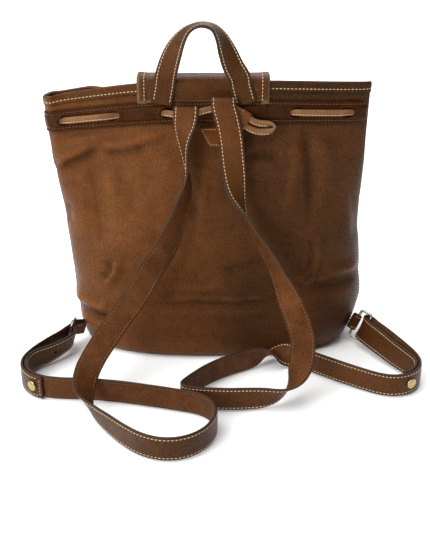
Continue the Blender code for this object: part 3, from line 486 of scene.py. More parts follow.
def skin(name, outer, inner, looks=("bag", "suede", "raw"), tone=None, swell=0.4, place=None, marks=None):
    """Closed skin between two grids of points, with a rounded border."""
    rows, columns = outer.shape[:2]
    count = rows * columns
    index = np.arange(count).reshape(rows, columns)
    quads = np.stack([index[:-1, :-1], index[:-1, 1:], index[1:, 1:], index[1:, :-1]], -1).reshape(-1, 4)
    border = np.concatenate([index[0, :-1], index[:-1, -1], index[-1, :0:-1], index[:0:-1, 0]])
    inward = np.concatenate([index[1, :-1], index[:-1, -2], index[-2, :0:-1], index[:0:-1, 1]])
    flat_out, flat_in = outer.reshape(-1, 3), inner.reshape(-1, 3)
    thick = np.linalg.norm(flat_out[border] - flat_in[border], axis=1, keepdims=True)
    push = unit(flat_out[border] - flat_out[inward])
    middle = (flat_out[border] + flat_in[border]) / 2 + push * thick * swell
    points = np.concatenate([flat_out, flat_in, middle])
    ring = np.arange(len(border))
    after = np.roll(ring, -1)
    edge_a = np.stack([border[ring], border[after], 2 * count + after, 2 * count + ring], -1)
    edge_b = np.stack([2 * count + ring, 2 * count + after, count + border[after], count + border[ring]], -1)
    faces = np.concatenate([quads, quads[:, ::-1] + count, edge_a, edge_b])
    kinds = np.concatenate([np.zeros(len(quads)), np.full(len(quads), 1), np.full(2 * len(ring), 2)])
    if marks is not None:
        kinds[:len(quads)] = np.where(marks[:-1, :-1].ravel(), len(looks) - 1, 0)
    if tone is not None:
        flat = tone.reshape(-1)
        tone = np.concatenate([flat, flat, flat[border]])
    if place is not None:
        flat = place.reshape(-1, 3)
        place = np.concatenate([flat, flat + (0, 0, 40), flat[border]])
    return add_mesh(name, points, faces, looks, place=place, tone=tone, face_look=kinds)


def smooth_path(route, steps, closed=False):
    """Centripetal Catmull-Rom curve through rows of numbers, the first three of which are a place."""
    route = np.array(route, float)
    count = len(route)
    samples = []
    for i in range(count if closed else count - 1):
        if closed:
            p0, p1, p2, p3 = (route[(i + k) % count] for k in (-1, 0, 1, 2))
        else:
            p1, p2 = route[i], route[i + 1]
            p0 = route[i - 1] if i > 0 else 2 * p1 - p2
            p3 = route[i + 2] if i + 2 < count else 2 * p2 - p1
        gaps = [max(np.linalg.norm(b[:3] - a[:3]), 1e-6)**0.5 for a, b in ((p0, p1), (p1, p2), (p2, p3))]
        m1 = ((p1 - p0) / gaps[0] - (p2 - p0) / (gaps[0] + gaps[1]) + (p2 - p1) / gaps[1]) * gaps[1]
        m2 = ((p2 - p1) / gaps[1] - (p3 - p1) / (gaps[1] + gaps[2]) + (p3 - p2) / gaps[2]) * gaps[1]
        for step in range(steps):
            t = step / steps
            samples.append((2 * t**3 - 3 * t**2 + 1) * p1 + (t**3 - 2 * t**2 + t) * m1
                           + (-2 * t**3 + 3 * t**2) * p2 + (t**3 - t**2) * m2)
    if not closed:
        samples.append(route[-1])
    return np.array(samples)


def resample(rows, gap):
    """Rows at even distances along their path, with the distance of each."""
    gone = distances(rows[:, :3])
    count = max(4, int(round(gone[-1] / gap)) + 1)
    at = np.linspace(0, gone[-1], count)
    return np.stack([np.interp(at, gone, rows[:, k]) for k in range(rows.shape[1])], 1), at


def ring_faces(a, b, count):
    """Quads between two rings of points, which start at points a and b."""
    return [[a + k, a + (k + 1) % count, b + (k + 1) % count, b + k] for k in range(count)]


def eased(ways, passes):
    for _ in range(passes):
        ways = unit(ways)
        before, after = np.roll(ways, 1, axis=0), np.roll(ways, -1, axis=0)
        before[0], after[-1] = ways[0], ways[-1]
        ways = (before + 2 * ways + after) / 4
    return ways


def strip_frames(route, gap=2.2, passes=26):
    """Places along a flat strip with its along, across and face ways, and the distance of each."""
    rows, at = resample(smooth_path(route, 8), gap)
    along = unit(np.gradient(rows[:, :3], axis=0))
    across = eased(rows[:, 3:6], passes)
    across = unit(across - along * np.sum(along * across, -1, keepdims=True))
    return rows[:, :3], along, across, np.cross(along, across), at


def sweep(name, frames, profile, looks, edge_from, change=None, tone=None):
    """Flat strip swept along frames. Profile is a loop of (across, out) points, anticlockwise."""
    places, along, across, face, at = frames
    profile = np.array(profile, float)
    sides, count = len(profile), len(places)
    v, t = np.broadcast_to(profile[:, 0], (count, sides)), np.broadcast_to(profile[:, 1], (count, sides))
    u = np.broadcast_to(at[:, None], (count, sides))
    lift = change(u, v, t) if change else np.zeros_like(u)
    shape = places[:, None] + across[:, None] * v[..., None] + face[:, None] * (t + lift)[..., None]
    index = np.arange(count * sides).reshape(count, sides)
    after = np.roll(index, -1, axis=1)
    quads = np.stack([index[:-1], after[:-1], after[1:], index[1:]], -1).reshape(-1, 4)
    middle = (profile + np.roll(profile, -1, axis=0)) / 2
    kind = np.where(np.abs(middle[:, 0]) > edge_from, 2, np.where(middle[:, 1] > 0, 0, 1))
    kinds = np.broadcast_to(kind, (count - 1, sides)).reshape(-1)
    points, faces = shape.reshape(-1, 3), [list(f) for f in quads]
    grain = np.stack([u, v, t * 6], -1).reshape(-1, 3)
    shades = (tone(u, v, t) if tone else np.ones_like(u)).reshape(-1)
    extra_kinds = []
    for end, ring, way in ((0, index[0], -along[0]), (count - 1, index[-1], along[-1])):
        small = places[end] + (shape[end] - places[end]) * (0.93, 0.93, 0.93) + way * 0.5
        start = len(points)
        points = np.concatenate([points, small])
        grain = np.concatenate([grain, grain[ring]])
        shades = np.concatenate([shades, shades[ring]])
        for k in range(sides):
            n = (k + 1) % sides
            faces.append([ring[k], ring[n], start + n, start + k])
            extra_kinds.append(2)
        faces.append([start + k for k in range(sides)])
        extra_kinds.append(2)
    return add_mesh(name, points, faces, looks, place=grain, tone=shades,
                    face_look=np.concatenate([kinds, extra_kinds]))


STITCH_STEPS = ((-0.5, 0.35, -0.7), (-0.42, 0.8, -0.1), (-0.2, 1.0, 0.28), (0.2, 1.0, 0.28),
                (0.42, 0.8, -0.1), (0.5, 0.35, -0.7))


def stitches(name, runs, look="thread", long=2.35, pitch=3.6, radius=0.4, slant=0.1):
    """Row of sewn stitches along each run, which is places and outward ways."""
    starts, ends, outs = [], [], []
    for places, out in runs:
        rows = np.concatenate([places, out], 1)
        steps = distances(places)
        number = max(1, int((steps[-1] - long) / pitch) + 1)
        middle = (steps[-1] - (number - 1) * pitch) / 2 + np.arange(number) * pitch
        for shift, keep in ((-long / 2, starts), (long / 2, ends)):
            keep.append(np.stack([np.interp(middle + shift, steps, rows[:, k]) for k in range(3)], 1))
        outs.append(np.stack([np.interp(middle, steps, rows[:, k]) for k in (3, 4, 5)], 1))
    starts, ends, outs = np.concatenate(starts), np.concatenate(ends), unit(np.concatenate(outs))
    way = ends - starts
    along = unit(way)
    across = unit(np.cross(outs, along))
    outs = np.cross(along, across)
    centre = (starts + ends) / 2
    length = np.linalg.norm(way, axis=1)[:, None]
    sides = 6
    rings = []
    for share, thick, lift in STITCH_STEPS:
        for k in range(sides):
            a = 2 * math.pi * k / sides
            sideways = radius * thick * math.cos(a) + slant * share * length
            upward = thick * math.sin(a) * 0.8 + lift + 0.25
            rings.append(centre + along * length * share + across * sideways + outs * radius * upward)
    points = np.stack(rings, 1)
    block = len(STITCH_STEPS) * sides
    one = []
    for r in range(len(STITCH_STEPS) - 1):
        for k in range(sides):
            n = (k + 1) % sides
            one.append([r * sides + k, r * sides + n, (r + 1) * sides + n, (r + 1) * sides + k])
    caps = [[k for k in range(sides)][::-1], [block - sides + k for k in range(sides)]]
    faces = []
    for s in range(len(centre)):
        faces += [[i + s * block for i in f] for f in one] + [[i + s * block for i in f] for f in caps]
    return add_mesh(name, points.reshape(-1, 3), faces, (look,))


# ---------------------------------------------------------------- bag panels, base and stitching on them

def hem_lift(height):
    return 0.9 * ease((height - (RIM - HEM_DROP)) / 0.9)


def hem_groove(height):
    return -0.3 * np.exp(-((height - (RIM - 6.0)) / 0.7)**2)


def seam_roll(angle, height):
    """The panels' edges turn in at the side seams, beside a low ridge of turned leather."""
    corner = np.abs(np.abs(angle) - 90)
    gap = corner * 0.9
    return -2.2 * np.exp(-(gap / 1.3)**2) + 0.5 * np.exp(-((gap - 4.0) / 2.2)**2)


def wall_tone(angle, height):
    """Painted shade and light on the wall: darker in folds, paler on ridges, and on the back darker towards
    the right, low in the middle and towards the top, paler near the base, with painted shadow lines under the
    hem and along the band's edges; a little darker along the base seam, random patches, and the front toned
    darker.
    """
    place = shell(angle, height)
    x, z = place[..., 0], place[..., 2]
    bend = relief(angle, height)
    smooth = (relief(angle, height + 5) + relief(angle, height - 5)
              + relief(angle + 2.5, height) + relief(angle - 2.5, height)) / 4
    # Painted shade in the folds and painted highlight on the ridges: darker where the wall dips below its
    # neighbours, paler where it stands above them.
    tone = 1.0 + np.clip((bend - smooth) * 0.42, -0.42, 0.30)
    tone *= 1.0 - 0.10 * np.exp(-((z - 4) / 9)**2)
    tone *= 1.0 + 0.13 * lumps(x, z, 52, 8) + 0.08 * lumps(x, z, 21, 9) + 0.04 * lumps(x, z, 8, 10)
    back = np.abs(angle) <= 90
    # Painted shade on the back: darker towards the right, low in the middle and towards the top; painted light
    # makes it paler near the base.
    low_middle = ease((130 - z) / 70) * ease((x + 110) / 70) * ease((90 - x) / 60)
    painted_shading = 1.0 - 0.54 * ease((x + 45) / 90) - 0.20 * low_middle
    painted_shading *= 1.0 + 0.35 * ease((30 - z) / 26)
    painted_shading *= 1.0 - 0.42 * ease((z - 252) / 12)
    # Painted shadow lines under the hem's lower edge and along the band's edges.
    for line, wide, depth in ((RIM - HEM_DROP - 0.5, 0.8, 0.5), (BAND_HIGH + 1.2, 1.3, 0.45),
                              (BAND_LOW - 1.4, 1.8, 0.4)):
        tone *= 1.0 - depth * np.exp(-((height - line) / wide)**2)
    # The front panel is toned darker overall.
    return tone * np.where(back, painted_shading, 0.85)


def make_panel(name, front, node_name):
    columns, rows = 226, 186
    angles = even_angles(columns)
    fold = RIM - HEM_DROP
    heights = np.concatenate([np.linspace(0, fold - 1, rows), fold + np.linspace(-0.4, 1.2, 5),
                              np.linspace(fold + 2.2, RIM, 12)])
    if front:
        angles = np.where(angles < 0, -180 - angles, 180 - angles)
        at_seam = np.abs(angles) < 90.0001
        angles[at_seam] = np.copysign(90.0001, angles[at_seam])
    a, h = np.meshgrid(angles, heights)
    lift = hem_lift(h) + hem_groove(h) + seam_roll(a, h)
    outer = wall(a, h, lift)
    inner = wall(a, h, -0.2, inset=LEATHER + 0.4)
    if not front:
        for grid in (outer, inner):
            grid[..., 1] = np.minimum(grid[..., 1], -0.12)
    made = skin(name, outer, inner, looks=("bag", "suede", "bag"), tone=wall_tone(a, h), swell=0.45)
    belong(made, "bag", node_name)


def wall_run(places, offset, step=1.6):
    """Run along the wall through (angle, height) places, as points and outward ways."""
    places = np.array(places, float)
    path = shell(places[:, 0], places[:, 1])
    gone = distances(path)
    at = np.linspace(0, gone[-1], max(3, int(gone[-1] / step)))
    angle, height = np.interp(at, gone, places[:, 0]), np.interp(at, gone, places[:, 1])
    lift = offset(angle, height) if callable(offset) else offset
    return wall(angle, height, lift), shell_out(angle, height)


def around(low, high, height, front=False, count=80):
    """(angle, height) places level along one side of the bag."""
    angles = even_angles(count, low, high)
    if front:
        angles = np.copysign(180, angles) - angles
        if low < 0 < high:
            angles = np.where(angles > 0, angles, angles + 360)
    return np.stack([angles, np.full(len(angles), float(height))], 1)


def make_hem_stitches():
    runs = []
    for low, high, front in ((-87, 87, False), (-87, -2, True), (2, 87, True)):
        runs.append(wall_run(around(low, high, RIM - 6.0, front), 0.72))
    made = stitches("hem_stitches", runs, pitch=3.7)
    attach(made, "bag")


# Rings of the base leather from its seam, over its edge and to the middle, as (inset, height).
BASE_RINGS = ((2.6, 2.5), (2.2, 1.9), (2.3, 0.9), (3.4, 0.15), (8.0, 0.0), (30.0, 0.25), (48.0, 0.3),
              (48.0, 2.2), (30.0, 2.4), (8.0, 2.5))
BASE_MIDDLE = 6


def make_base():
    """Oval base with a rounded edge, reaching to the seam that joins it to the walls."""
    angles = np.append(even_angles(90), 180 - even_angles(90)[1:-1])
    rings = []
    for inset, height in BASE_RINGS:
        ring = shell(angles, 0.0, inset)
        ring[:, 2] = height
        rings.append(ring)
    points = np.concatenate(rings)
    count, levels = len(angles), len(rings)
    faces = []
    for r in range(levels):
        a, b = r * count, ((r + 1) % levels) * count
        if r == BASE_MIDDLE:
            faces += [list(range(a, a + count))]
            faces += [list(range(b, b + count))[::-1]]
            continue
        faces += ring_faces(a, b, count)
    made = add_mesh("base_leather", points, faces, ("bag",))
    belong(made, "bag", "base_panel")


def seam_stitches():
    """Tone on tone stitching beside each side seam, and the line above the base."""
    runs = []
    for angle in (-83.0, 83.0, -97.0, 97.0):
        places = [(angle, h) for h in np.linspace(16, RIM - 14, 60)]
        runs.append(wall_run(places, 0.45, 3.0))
    for low, high, front in ((-84, 84, False), (-84, -2, True), (2, 84, True)):
        runs.append(wall_run(around(low, high, 5.0, front), 0.1))
    made = stitches("seam_stitches", runs, "brown_thread", radius=0.34)
    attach(made, "bag")


# ---------------------------------------------------------------- casing bands and the drawstring

# Middles of the slots that the cord comes out of, and the spans where it shows.
BACK_HOLES = (-147.5, -99.5, -46.5, 19.0, 79.5, 129.5)
FRONT_HOLES = (-145.0, -95.5, 81.0, 132.0)
HOLE_LONG, HOLE_TALL = 6.2, 4.6
BAND_MIDDLE = (BAND_LOW + BAND_HIGH) / 2
BAND_EDGE = 2.0


def bare_spans(front):
    holes = FRONT_HOLES if front else BACK_HOLES
    return [(holes[k], holes[k + 1]) for k in range(0, len(holes), 2)]


def band_lift(angle, height, front):
    """How far the band stands off the wall: its edges lie flat, and it swells over the hidden cord."""
    x = shell(angle, height)[..., 0]
    across = (height - BAND_MIDDLE) / ((BAND_HIGH - BAND_LOW) / 2)
    hidden = np.ones_like(x)
    for low, high in bare_spans(front):
        hidden *= 1 - ease((x - low + 4) / 8) * ease((high + 4 - x) / 8)
    hidden *= ease((80 - np.abs(180 - np.abs(angle) if front else angle)) / 8)
    swell = (0.6 + 2.6 * hidden) * ease((1 - np.abs(across) - 0.12) / 0.5)
    lift = BAND_EDGE + swell
    for line in (BAND_LOW + 2.4, BAND_HIGH - 2.4):
        lift -= 0.55 * np.exp(-((height - line) / 0.9)**2)
    pucker = lumps(x, height * 0.25, 6.5, 21) * 0.35 + lumps(x, height * 0.5, 15, 22) * 0.4
    lift += pucker * ease((1 - np.abs(across)) / 0.4)
    if not front:
        inside = ease((x + 71.5) / 3) * ease((51.5 - x) / 3) * ease((height - 245.2) / 2.2)
        lift += 1.2 * inside
    hole = np.zeros_like(x)
    for spot in FRONT_HOLES if front else BACK_HOLES:
        away = np.hypot((x - spot) / HOLE_LONG, (height - CORD_HEIGHT) / HOLE_TALL)
        hole = np.maximum(hole, ease((1.12 - away) / 0.22))
        lift += 0.5 * np.exp(-((away - 1.3) / 0.22)**2)
    return lift * (1 - hole) + 0.35 * hole, hole


def make_band(name, front, node_name):
    end = float(angle_at(148.5, 247.5))
    angles = even_angles(420, -89.6, end)
    share = np.linspace(-1, 1, 40)
    share = np.sign(share) * np.abs(share)**0.9
    path = shell(angles, BAND_MIDDLE)
    gone = distances(path)
    half = np.full(len(angles), (BAND_HIGH - BAND_LOW) / 2)
    corner = np.clip((9.0 - (gone[-1] - gone)) / 9.0, 0, 1)
    half = half * (0.12 + 0.88 * np.sqrt(1 - corner**2 * 0.999))
    if front:
        angles = np.copysign(180, angles) - angles
    a = np.broadcast_to(angles, (len(share), len(angles)))
    h = BAND_MIDDLE + share[:, None] * half[None]
    lift, hole = band_lift(a, h, front)
    outer = wall(a, h, lift)
    inner = wall(a, h, np.minimum(lift - 0.9, 0.25 + 0 * lift) - 0.1 * hole)
    x = outer[..., 0]
    # Painted shade: darker round the slots and, on the back, towards the right; the lumps are random patches.
    tone = 1.0 + 0.12 * lumps(x, h, 26, 31) - 0.45 * hole - 0.22 * ease((x + 40) / 110) * (not front)
    seam_at = (BAND_HIGH - BAND_LOW) / 2 - 2.4
    # Painted shade in the stitch grooves, and a painted highlight on the roll just outside each.
    tone -= 0.42 * np.exp(-((np.abs(h - BAND_MIDDLE) - seam_at) / 0.8)**2)
    tone += 0.25 * np.exp(-((np.abs(h - BAND_MIDDLE) - seam_at - 1.7) / 0.6)**2)
    made = skin(name, outer, inner, looks=("band", "suede", "band", "hole"), tone=tone, marks=hole > 0.6)
    belong(made, "bag", node_name)
    return end


def band_stitches(end):
    runs = []
    for line in (BAND_LOW + 2.4, BAND_HIGH - 2.4):
        for low, high, front in ((-88, end - 4, False), (-88, -2, True), (2, end - 4, True)):
            runs.append(wall_run(around(low, high, line, front, 140),
                                 lambda a, h, f=front: band_lift(a, h, f)[0] - 0.05))
    made = stitches("band_stitches", runs, "brown_thread", long=2.4, pitch=3.4, radius=0.36)
    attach(made, "bag")


CORD_HIDDEN, CORD_SHOWN = 1.9, 5.0
CORD_SEAM, CORD_FACE = 1.9, 0.95


def cord_rows(places):
    """Route rows along the casing: sideways place, wall offset, height, side, and half turns."""
    rows = []
    for x, offset, height, front, turn in places:
        angle = float(angle_at(x, CORD_HEIGHT, front))
        rows.append((*wall(angle, height, offset), *shell_out(angle, CORD_HEIGHT), turn))
    return rows


def cord_corner(sign, angles, turn):
    """The cord inside the casing round a side seam."""
    rows = []
    for angle in angles:
        offset = CORD_HIDDEN - 6.5 * ease((22 - abs(90 - angle)) / 10)
        spot = sign * angle
        rows.append((*wall(spot, CORD_HEIGHT, offset), *shell_out(spot, CORD_HEIGHT), turn))
    return rows


def cord_shown(low, high, front, turn):
    """The cord between two slots, out of the one and into the other."""
    way = 1 if high > low else -1
    places = ((low - 8 * way, CORD_HIDDEN), (low - 2.5 * way, CORD_HIDDEN + 0.4),
              (low + 5 * way, CORD_SHOWN - 0.2), (low * 0.7 + high * 0.3, CORD_SHOWN + 0.5),
              (low * 0.3 + high * 0.7, CORD_SHOWN + 0.5), (high - 5 * way, CORD_SHOWN - 0.2),
              (high + 2.5 * way, CORD_HIDDEN + 0.4), (high + 8 * way, CORD_HIDDEN))
    return [(x, offset, CORD_HEIGHT, front, turn) for x, offset in places]


def drawstring_route():
    """Open route that starts and ends inside the front casing, going right along the front last."""
    h = CORD_HEIGHT
    corner = (67, 70.5, 74, 78, 84, 90, 96, 102, 106, 109.5, 113)
    rows = cord_rows([(-6, CORD_HIDDEN, h, True, 0), (-50, CORD_HIDDEN, h, True, 0)])
    rows += cord_rows(cord_shown(FRONT_HOLES[1], FRONT_HOLES[0], True, 0))
    rows += cord_corner(-1, corner[::-1], 0)
    rows += cord_rows(cord_shown(BACK_HOLES[0], BACK_HOLES[1], False, 0))
    rows += cord_rows([(x, offset, height, False, turn) for x, offset, height, turn in (
        (-72, CORD_HIDDEN, h, 0), (-58, CORD_HIDDEN, h, 0), (-51, 2.4, 247.4, 0), (-44, 6.6, 246.8, 0),
        (-36, 12.0, 246.6, 0), (-22, 13.0, 247.6, 0), (-8, 13.0, 251.0, 0), (6, 12.8, 253.8, 0),
        (14, 12.6, 254.0, 0), (21, 12.3, 251.6, 0), (26.5, 12.0, 248.0, 0), (32, 12.0, 243.8, 0),
        (37, 11.6, 240.0, 0), (43, 10.8, 237.8, 0), (50, 9.6, 237.0, 0.05),
        (56, 8.8, 235.8, 0.3), (58.6, 8.6, 233.1, 0.5), (56.4, 8.8, 230.4, 0.75),
        (50, 9.6, 229.2, 0.95), (42.5, 10.8, 229.4, 1), (35, 11.8, 232.0, 1), (27, 12.0, 237.0, 1),
        (20.5, 12.1, 240.6, 1), (14, 12.2, 241.0, 1), (8, 11.8, 239.6, 1), (3.5, 11.2, 240.4, 1),
        (1.8, 10.4, 242.8, 1), (3.5, 9.6, 245.6, 1), (8, 8.6, 246.8, 1), (13, 6.6, 247.2, 1),
        (20, 3.4, 247.4, 1), (29, CORD_HIDDEN, h, 0.8), (42, CORD_HIDDEN, h, 0.3), (54, CORD_HIDDEN, h, 0))])
    rows += cord_rows(cord_shown(BACK_HOLES[4], BACK_HOLES[5], False, 0))
    rows += cord_corner(1, corner, 0)
    rows += cord_rows(cord_shown(FRONT_HOLES[3], FRONT_HOLES[2], True, 0))
    rows += cord_rows([(40, CORD_HIDDEN, h, True, 0), (6, CORD_HIDDEN, h, True, 0)])
    return rows


CORD_PROFILE = (
    (-3.25, 0.0), (-3.1, -0.7), (-2.4, -0.95), (-1.2, -1.0), (-0.2, -1.35), (1.0, -1.5), (2.2, -1.4),
    (3.0, -0.8), (3.25, 0.0), (3.0, 0.8), (2.2, 1.4), (1.0, 1.5), (-0.2, 1.3), (-1.2, 0.85), (-2.0, 0.78),
    (-2.6, 0.9), (-3.1, 0.7),
)


def make_drawstring():
    rows, at = resample(smooth_path(drawstring_route(), 8), 1.5)
    places, turn = rows[:, :3], rows[:, 6] * math.pi
    along = unit(np.gradient(places, axis=0))
    out = unit(rows[:, 3:6] - along * np.sum(rows[:, 3:6] * along, -1, keepdims=True))
    up = np.cross(out, along)
    across = up * np.cos(turn)[:, None] + out * np.sin(turn)[:, None]
    face = np.cross(along, across)
    frames = (places, along, across, face, at)
    made = sweep("drawstring_cord", frames, CORD_PROFILE, ("cord", "cord", "raw"), 3.02,
                 change=lambda u, v, t: lumps(u, v, 5, 41) * 0.12,
                 tone=lambda u, v, t: 1.0 + 0.12 * lumps(u, v * 2, 16, 42))
    belong(made, "bag", "drawstring")
    side = np.where(np.cos(turn) > 0, 1.0, -1.0)[:, None]
    lies_flat = np.abs(np.cos(turn)) > 0.9
    line = places - across * CORD_SEAM + face * CORD_FACE
    back = places - across * CORD_SEAM - face * CORD_FACE
    runs, start = [], None
    for k, flat in enumerate(np.append(lies_flat, False)):
        if flat and start is None:
            start = k
        if not flat and start is not None:
            if k - start > 4:
                part = slice(start, k)
                front = side[start, 0] > 0
                runs.append((line[part] if front else back[part], (face if front else -face)[part]))
            start = None
    thread = stitches("drawstring_stitches", runs, long=2.2, pitch=3.1, radius=0.34)
    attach(thread, "bag")


SLIDER_SIDES = 40
SLIDER_RINGS = ((-4.9, 0.0), (-5.0, 0.5), (-4.7, 1.0), (-2.5, 1.25), (0.0, 1.1), (2.5, 1.25), (4.7, 1.0),
                (5.0, 0.5), (4.9, 0.0), (0.0, 0.0))


def make_slider():
    """Leather sleeve round both strands of the cord, cut raw at both ends."""
    centre = np.array((26.5, float(back_y(26.5, 242.6, 12.0)), 242.6))
    tilt = math.radians(-33.0)
    lean = float(back_y(27, 250) - back_y(27, 230)) / 20.0
    along = unit(np.array((math.cos(tilt), lean * math.sin(tilt), math.sin(tilt))))
    up = unit(np.array((-along[2], lean * along[0], along[0])))
    out = np.cross(along, up)
    rings = []
    for u, wall_thick in SLIDER_RINGS:
        ring = []
        for k in range(SLIDER_SIDES):
            a = 2 * math.pi * k / SLIDER_SIDES
            s, c = math.sin(a), math.cos(a)
            tall = (9.1 + wall_thick) * math.copysign(abs(s)**0.55, s)
            deep = (2.9 + wall_thick) * math.copysign(abs(c)**0.7, c)
            ring.append(centre + along * u + up * tall + out * deep)
        rings.append(ring)
    points = np.array(rings).reshape(-1, 3)
    levels, faces, kinds = len(rings), [], []
    for r in range(levels):
        a, b = r * SLIDER_SIDES, ((r + 1) % levels) * SLIDER_SIDES
        faces += ring_faces(a, b, SLIDER_SIDES)
        kinds += [1 if r in (0, 1, 6, 7) else 0] * SLIDER_SIDES
    made = add_mesh("slider_leather", points, faces, ("strap", "raw"), tone=np.full(len(points), 1.5),
                    face_look=kinds)
    belong(made, "slider", "drawstring_slider")


# ---------------------------------------------------------------- shoulder straps

STRAP_REST = 12.2
LOOP_BACK, LOOP_FRONT = 8.6, 17.6
STRAP_PROFILE = (
    (-12.0, 0.0), (-11.9, -0.7), (-11.4, -1.15), (-10.9, -1.3), (-10.0, -1.32), (-9.4, -1.1), (-8.7, -1.32),
    (-6.0, -1.4), (-3.0, -1.42), (0.0, -1.42), (3.0, -1.42), (6.0, -1.4), (8.7, -1.32), (9.4, -1.1),
    (10.0, -1.32), (10.9, -1.3), (11.4, -1.15), (11.9, -0.7), (12.0, 0.0), (11.9, 0.7), (11.4, 1.15),
    (10.9, 1.3), (10.0, 1.32), (9.4, 1.08), (8.7, 1.36), (6.0, 1.5), (3.0, 1.54), (0.0, 1.55), (-3.0, 1.54),
    (-6.0, 1.5), (-8.7, 1.36), (-9.4, 1.08), (-10.0, 1.32), (-10.9, 1.3), (-11.4, 1.15), (-11.9, 0.7),
)
STITCH_LINE = 9.4

# Strap routes from the drawstring down to the studs. Each row is a place and the strap's across way.
# A short row is a place where the strap rests on its edge, and -1 where it is turned over.
LEFT_STRAP = (
    (-28.8, -31.5, 243, 1, -0.1, 0), (-30, -33, 232, 0.62, -0.8, 0.05),
    (-29.8, -35, 220, 0.36, -0.92, 0.12), (-28.5, -38, 208, 0.15, -0.95, 0.25),
    (-26.5, -43, 191, -0.04, -0.92, 0.4), (-27, -47.5, 180, -0.33, -0.85, 0.35),
    (-30, -51.5, 170, -0.5, -0.78, 0.3), (-40, -62.5, 144, -0.72, -0.6, 0.3),
    (-50, -72.5, 125, -0.88, -0.35, 0.25), (-62, -81, 110, -1, -0.15, 0.2), (-73, -91, 93, -1, 0, 0.2),
    (-95, -109, 66, -1, 0, 0.2), (-109, -122, 49, -1, 0, 0.2), (-117, -134, 39, -1, 0, 0.2),
    (-121, -145.5, 32.5, -0.9, -0.1, 0.35), (-122.5, -155.5, 25, -0.8, -0.2, 0.55),
    (-120.5, -166, 17.5, -0.6, -0.2, 0.8), (-115, -176, 14, -0.35, -0.1, 0.95),
    (-106, -187, STRAP_REST, -0.2, -0.1, 1), (-94, -201, STRAP_REST, -0.1, 0, 1), (-79, -217), (-64, -229),
    (-48, -235.5), (-33, -235.5), (-19, -229.5), (-7.5, -218), (-0.5, -203), (0.5, -189), (-4.5, -176),
    (-16, -166), (-36, -159.5), (-62, -152.5), (-92, -145.5), (-122, -141), (-148, -139.5), (-163, -136.5),
    (-175.5, -129), (-184, -117), (-186.5, -103), (-182, -88, 12.5, 0.05, -0.05, 1),
    (-170, -77, 13, 0.15, -0.15, 1), (-158, -67, 15, 0.25, -0.22, 0.95),
    (-149.4, -55, 16.4, 0.27, -0.25, 0.93), (-148.6, -44.5, 16.9, 0.27, -0.25, 0.93),
    (-152.2, -39.4, 17.1, 0.27, -0.25, 0.93), (-157.2, -41.6, 16.9, 0.27, -0.25, 0.93),
    (-162, -49, 16.2, 0.26, -0.24, 0.94), (-174, -65, 14.6, 0.18, -0.18, 0.97),
    (-185.6, -85.2, 12.8, 0.06, -0.06, 1), (-190.3, -103), (-187.6, -118.8), (-178, -131.9),
    (-165.5, -139.6),
)
RIGHT_STRAP = (
    (12, -31.5, 244, 1, 0, 0), (15, -35, 229, 1, 0, 0), (16.8, -38.5, 213, 1, 0.05, 0),
    (18.6, -43, 196, 0.97, 0.2, 0), (20.8, -49.5, 180, 0.8, 0.6, -0.1),
    (25, -55.5, 166.5, 0.4, 0.88, -0.35), (30.5, -60.5, 155.5, -0.05, 1, -0.45),
    (38, -67, 142, -0.28, 0.95, -0.4), (47, -74, 130, -0.4, 0.9, -0.35),
    (55.5, -82, 117.5, -0.5, 0.85, -0.3), (63.5, -92, 103, -0.62, 0.78, -0.2),
    (71, -103, 89, -0.88, 0.45, -0.1), (78.5, -114.5, 73, -1, 0.12, 0), (83, -125, 58.5, -1, 0, 0),
    (83, -133.5, 46.5, -1, 0.05, 0), (80.5, -141, 35.5, -0.9, 0.35, -0.1),
    (75.5, -147.5, 25, -0.5, 0.75, -0.4), (67.5, -152, 17.5, -0.1, 0.75, -0.65),
    (57.5, -154.8, 13.5, 0, 0.4, -0.9), (46, -156.5, STRAP_REST, 0, 0.1, -1), (32, -158, -1),
    (14, -158.6, -1), (-5, -157.6, -1), (-18, -156, -1), (-26.5, -154, -1), (-31, -150.6, -1),
    (-31.4, -146, -1), (-28, -140, -1), (-21, -130.5, -1), (-11, -118.5, -1), (2, -106.5, -1),
    (17, -95.8, -1), (32, -87, -1), (45, -80.5, 12.5, 0, 0.1, -1), (54, -76.8, 12.5, 0, 0.75, -0.65),
    (62, -75, 12.5, 0.1, 1, 0.1), (70.5, -75.6, 12.5, 0.1, 0.7, 0.7), (80, -79.4, 12.4, 0, 0.1, 1),
    (95, -88.6), (114, -102.5), (130, -114), (146, -124.6), (158, -131.4), (170, -134.8), (182, -133),
    (193, -126.4), (200.3, -115.6), (201.8, -103, 12.4, 0.03, 0.01, 1), (197.4, -89, 13, 0.15, 0.06, 0.98),
    (189.4, -73, 13.8, 0.26, 0.12, 0.95), (180.6, -57, 15, 0.36, 0.16, 0.91),
    (172.5, -43, 16, 0.43, 0.19, 0.88), (166.8, -33, 16.5, 0.45, 0.2, 0.87),
    (164.4, -26.2, 16.6, 0.45, 0.2, 0.87), (160.6, -23.6, 17.2, 0.45, 0.2, 0.87),
    (156.8, -26, 17.4, 0.45, 0.2, 0.87), (157.2, -32.6, 17, 0.45, 0.2, 0.87),
    (163, -43.6, 16, 0.43, 0.19, 0.88), (171.6, -59, 15, 0.36, 0.16, 0.91),
    (180.8, -75.2, 13.8, 0.26, 0.12, 0.95), (190.8, -91.4, 13, 0.15, 0.06, 0.98),
    (197.4, -103.6, 12.4, 0.03, 0.01, 1), (196.9, -113.6), (191.8, -122.7), (182.3, -129.6),
)


def full_rows(rows):
    made = []
    for row in rows:
        if len(row) < 6:
            turned = row[2] if len(row) > 2 else 1
            row = (*row[:2], STRAP_REST, 0, 0, turned)
        made.append(row)
    return made


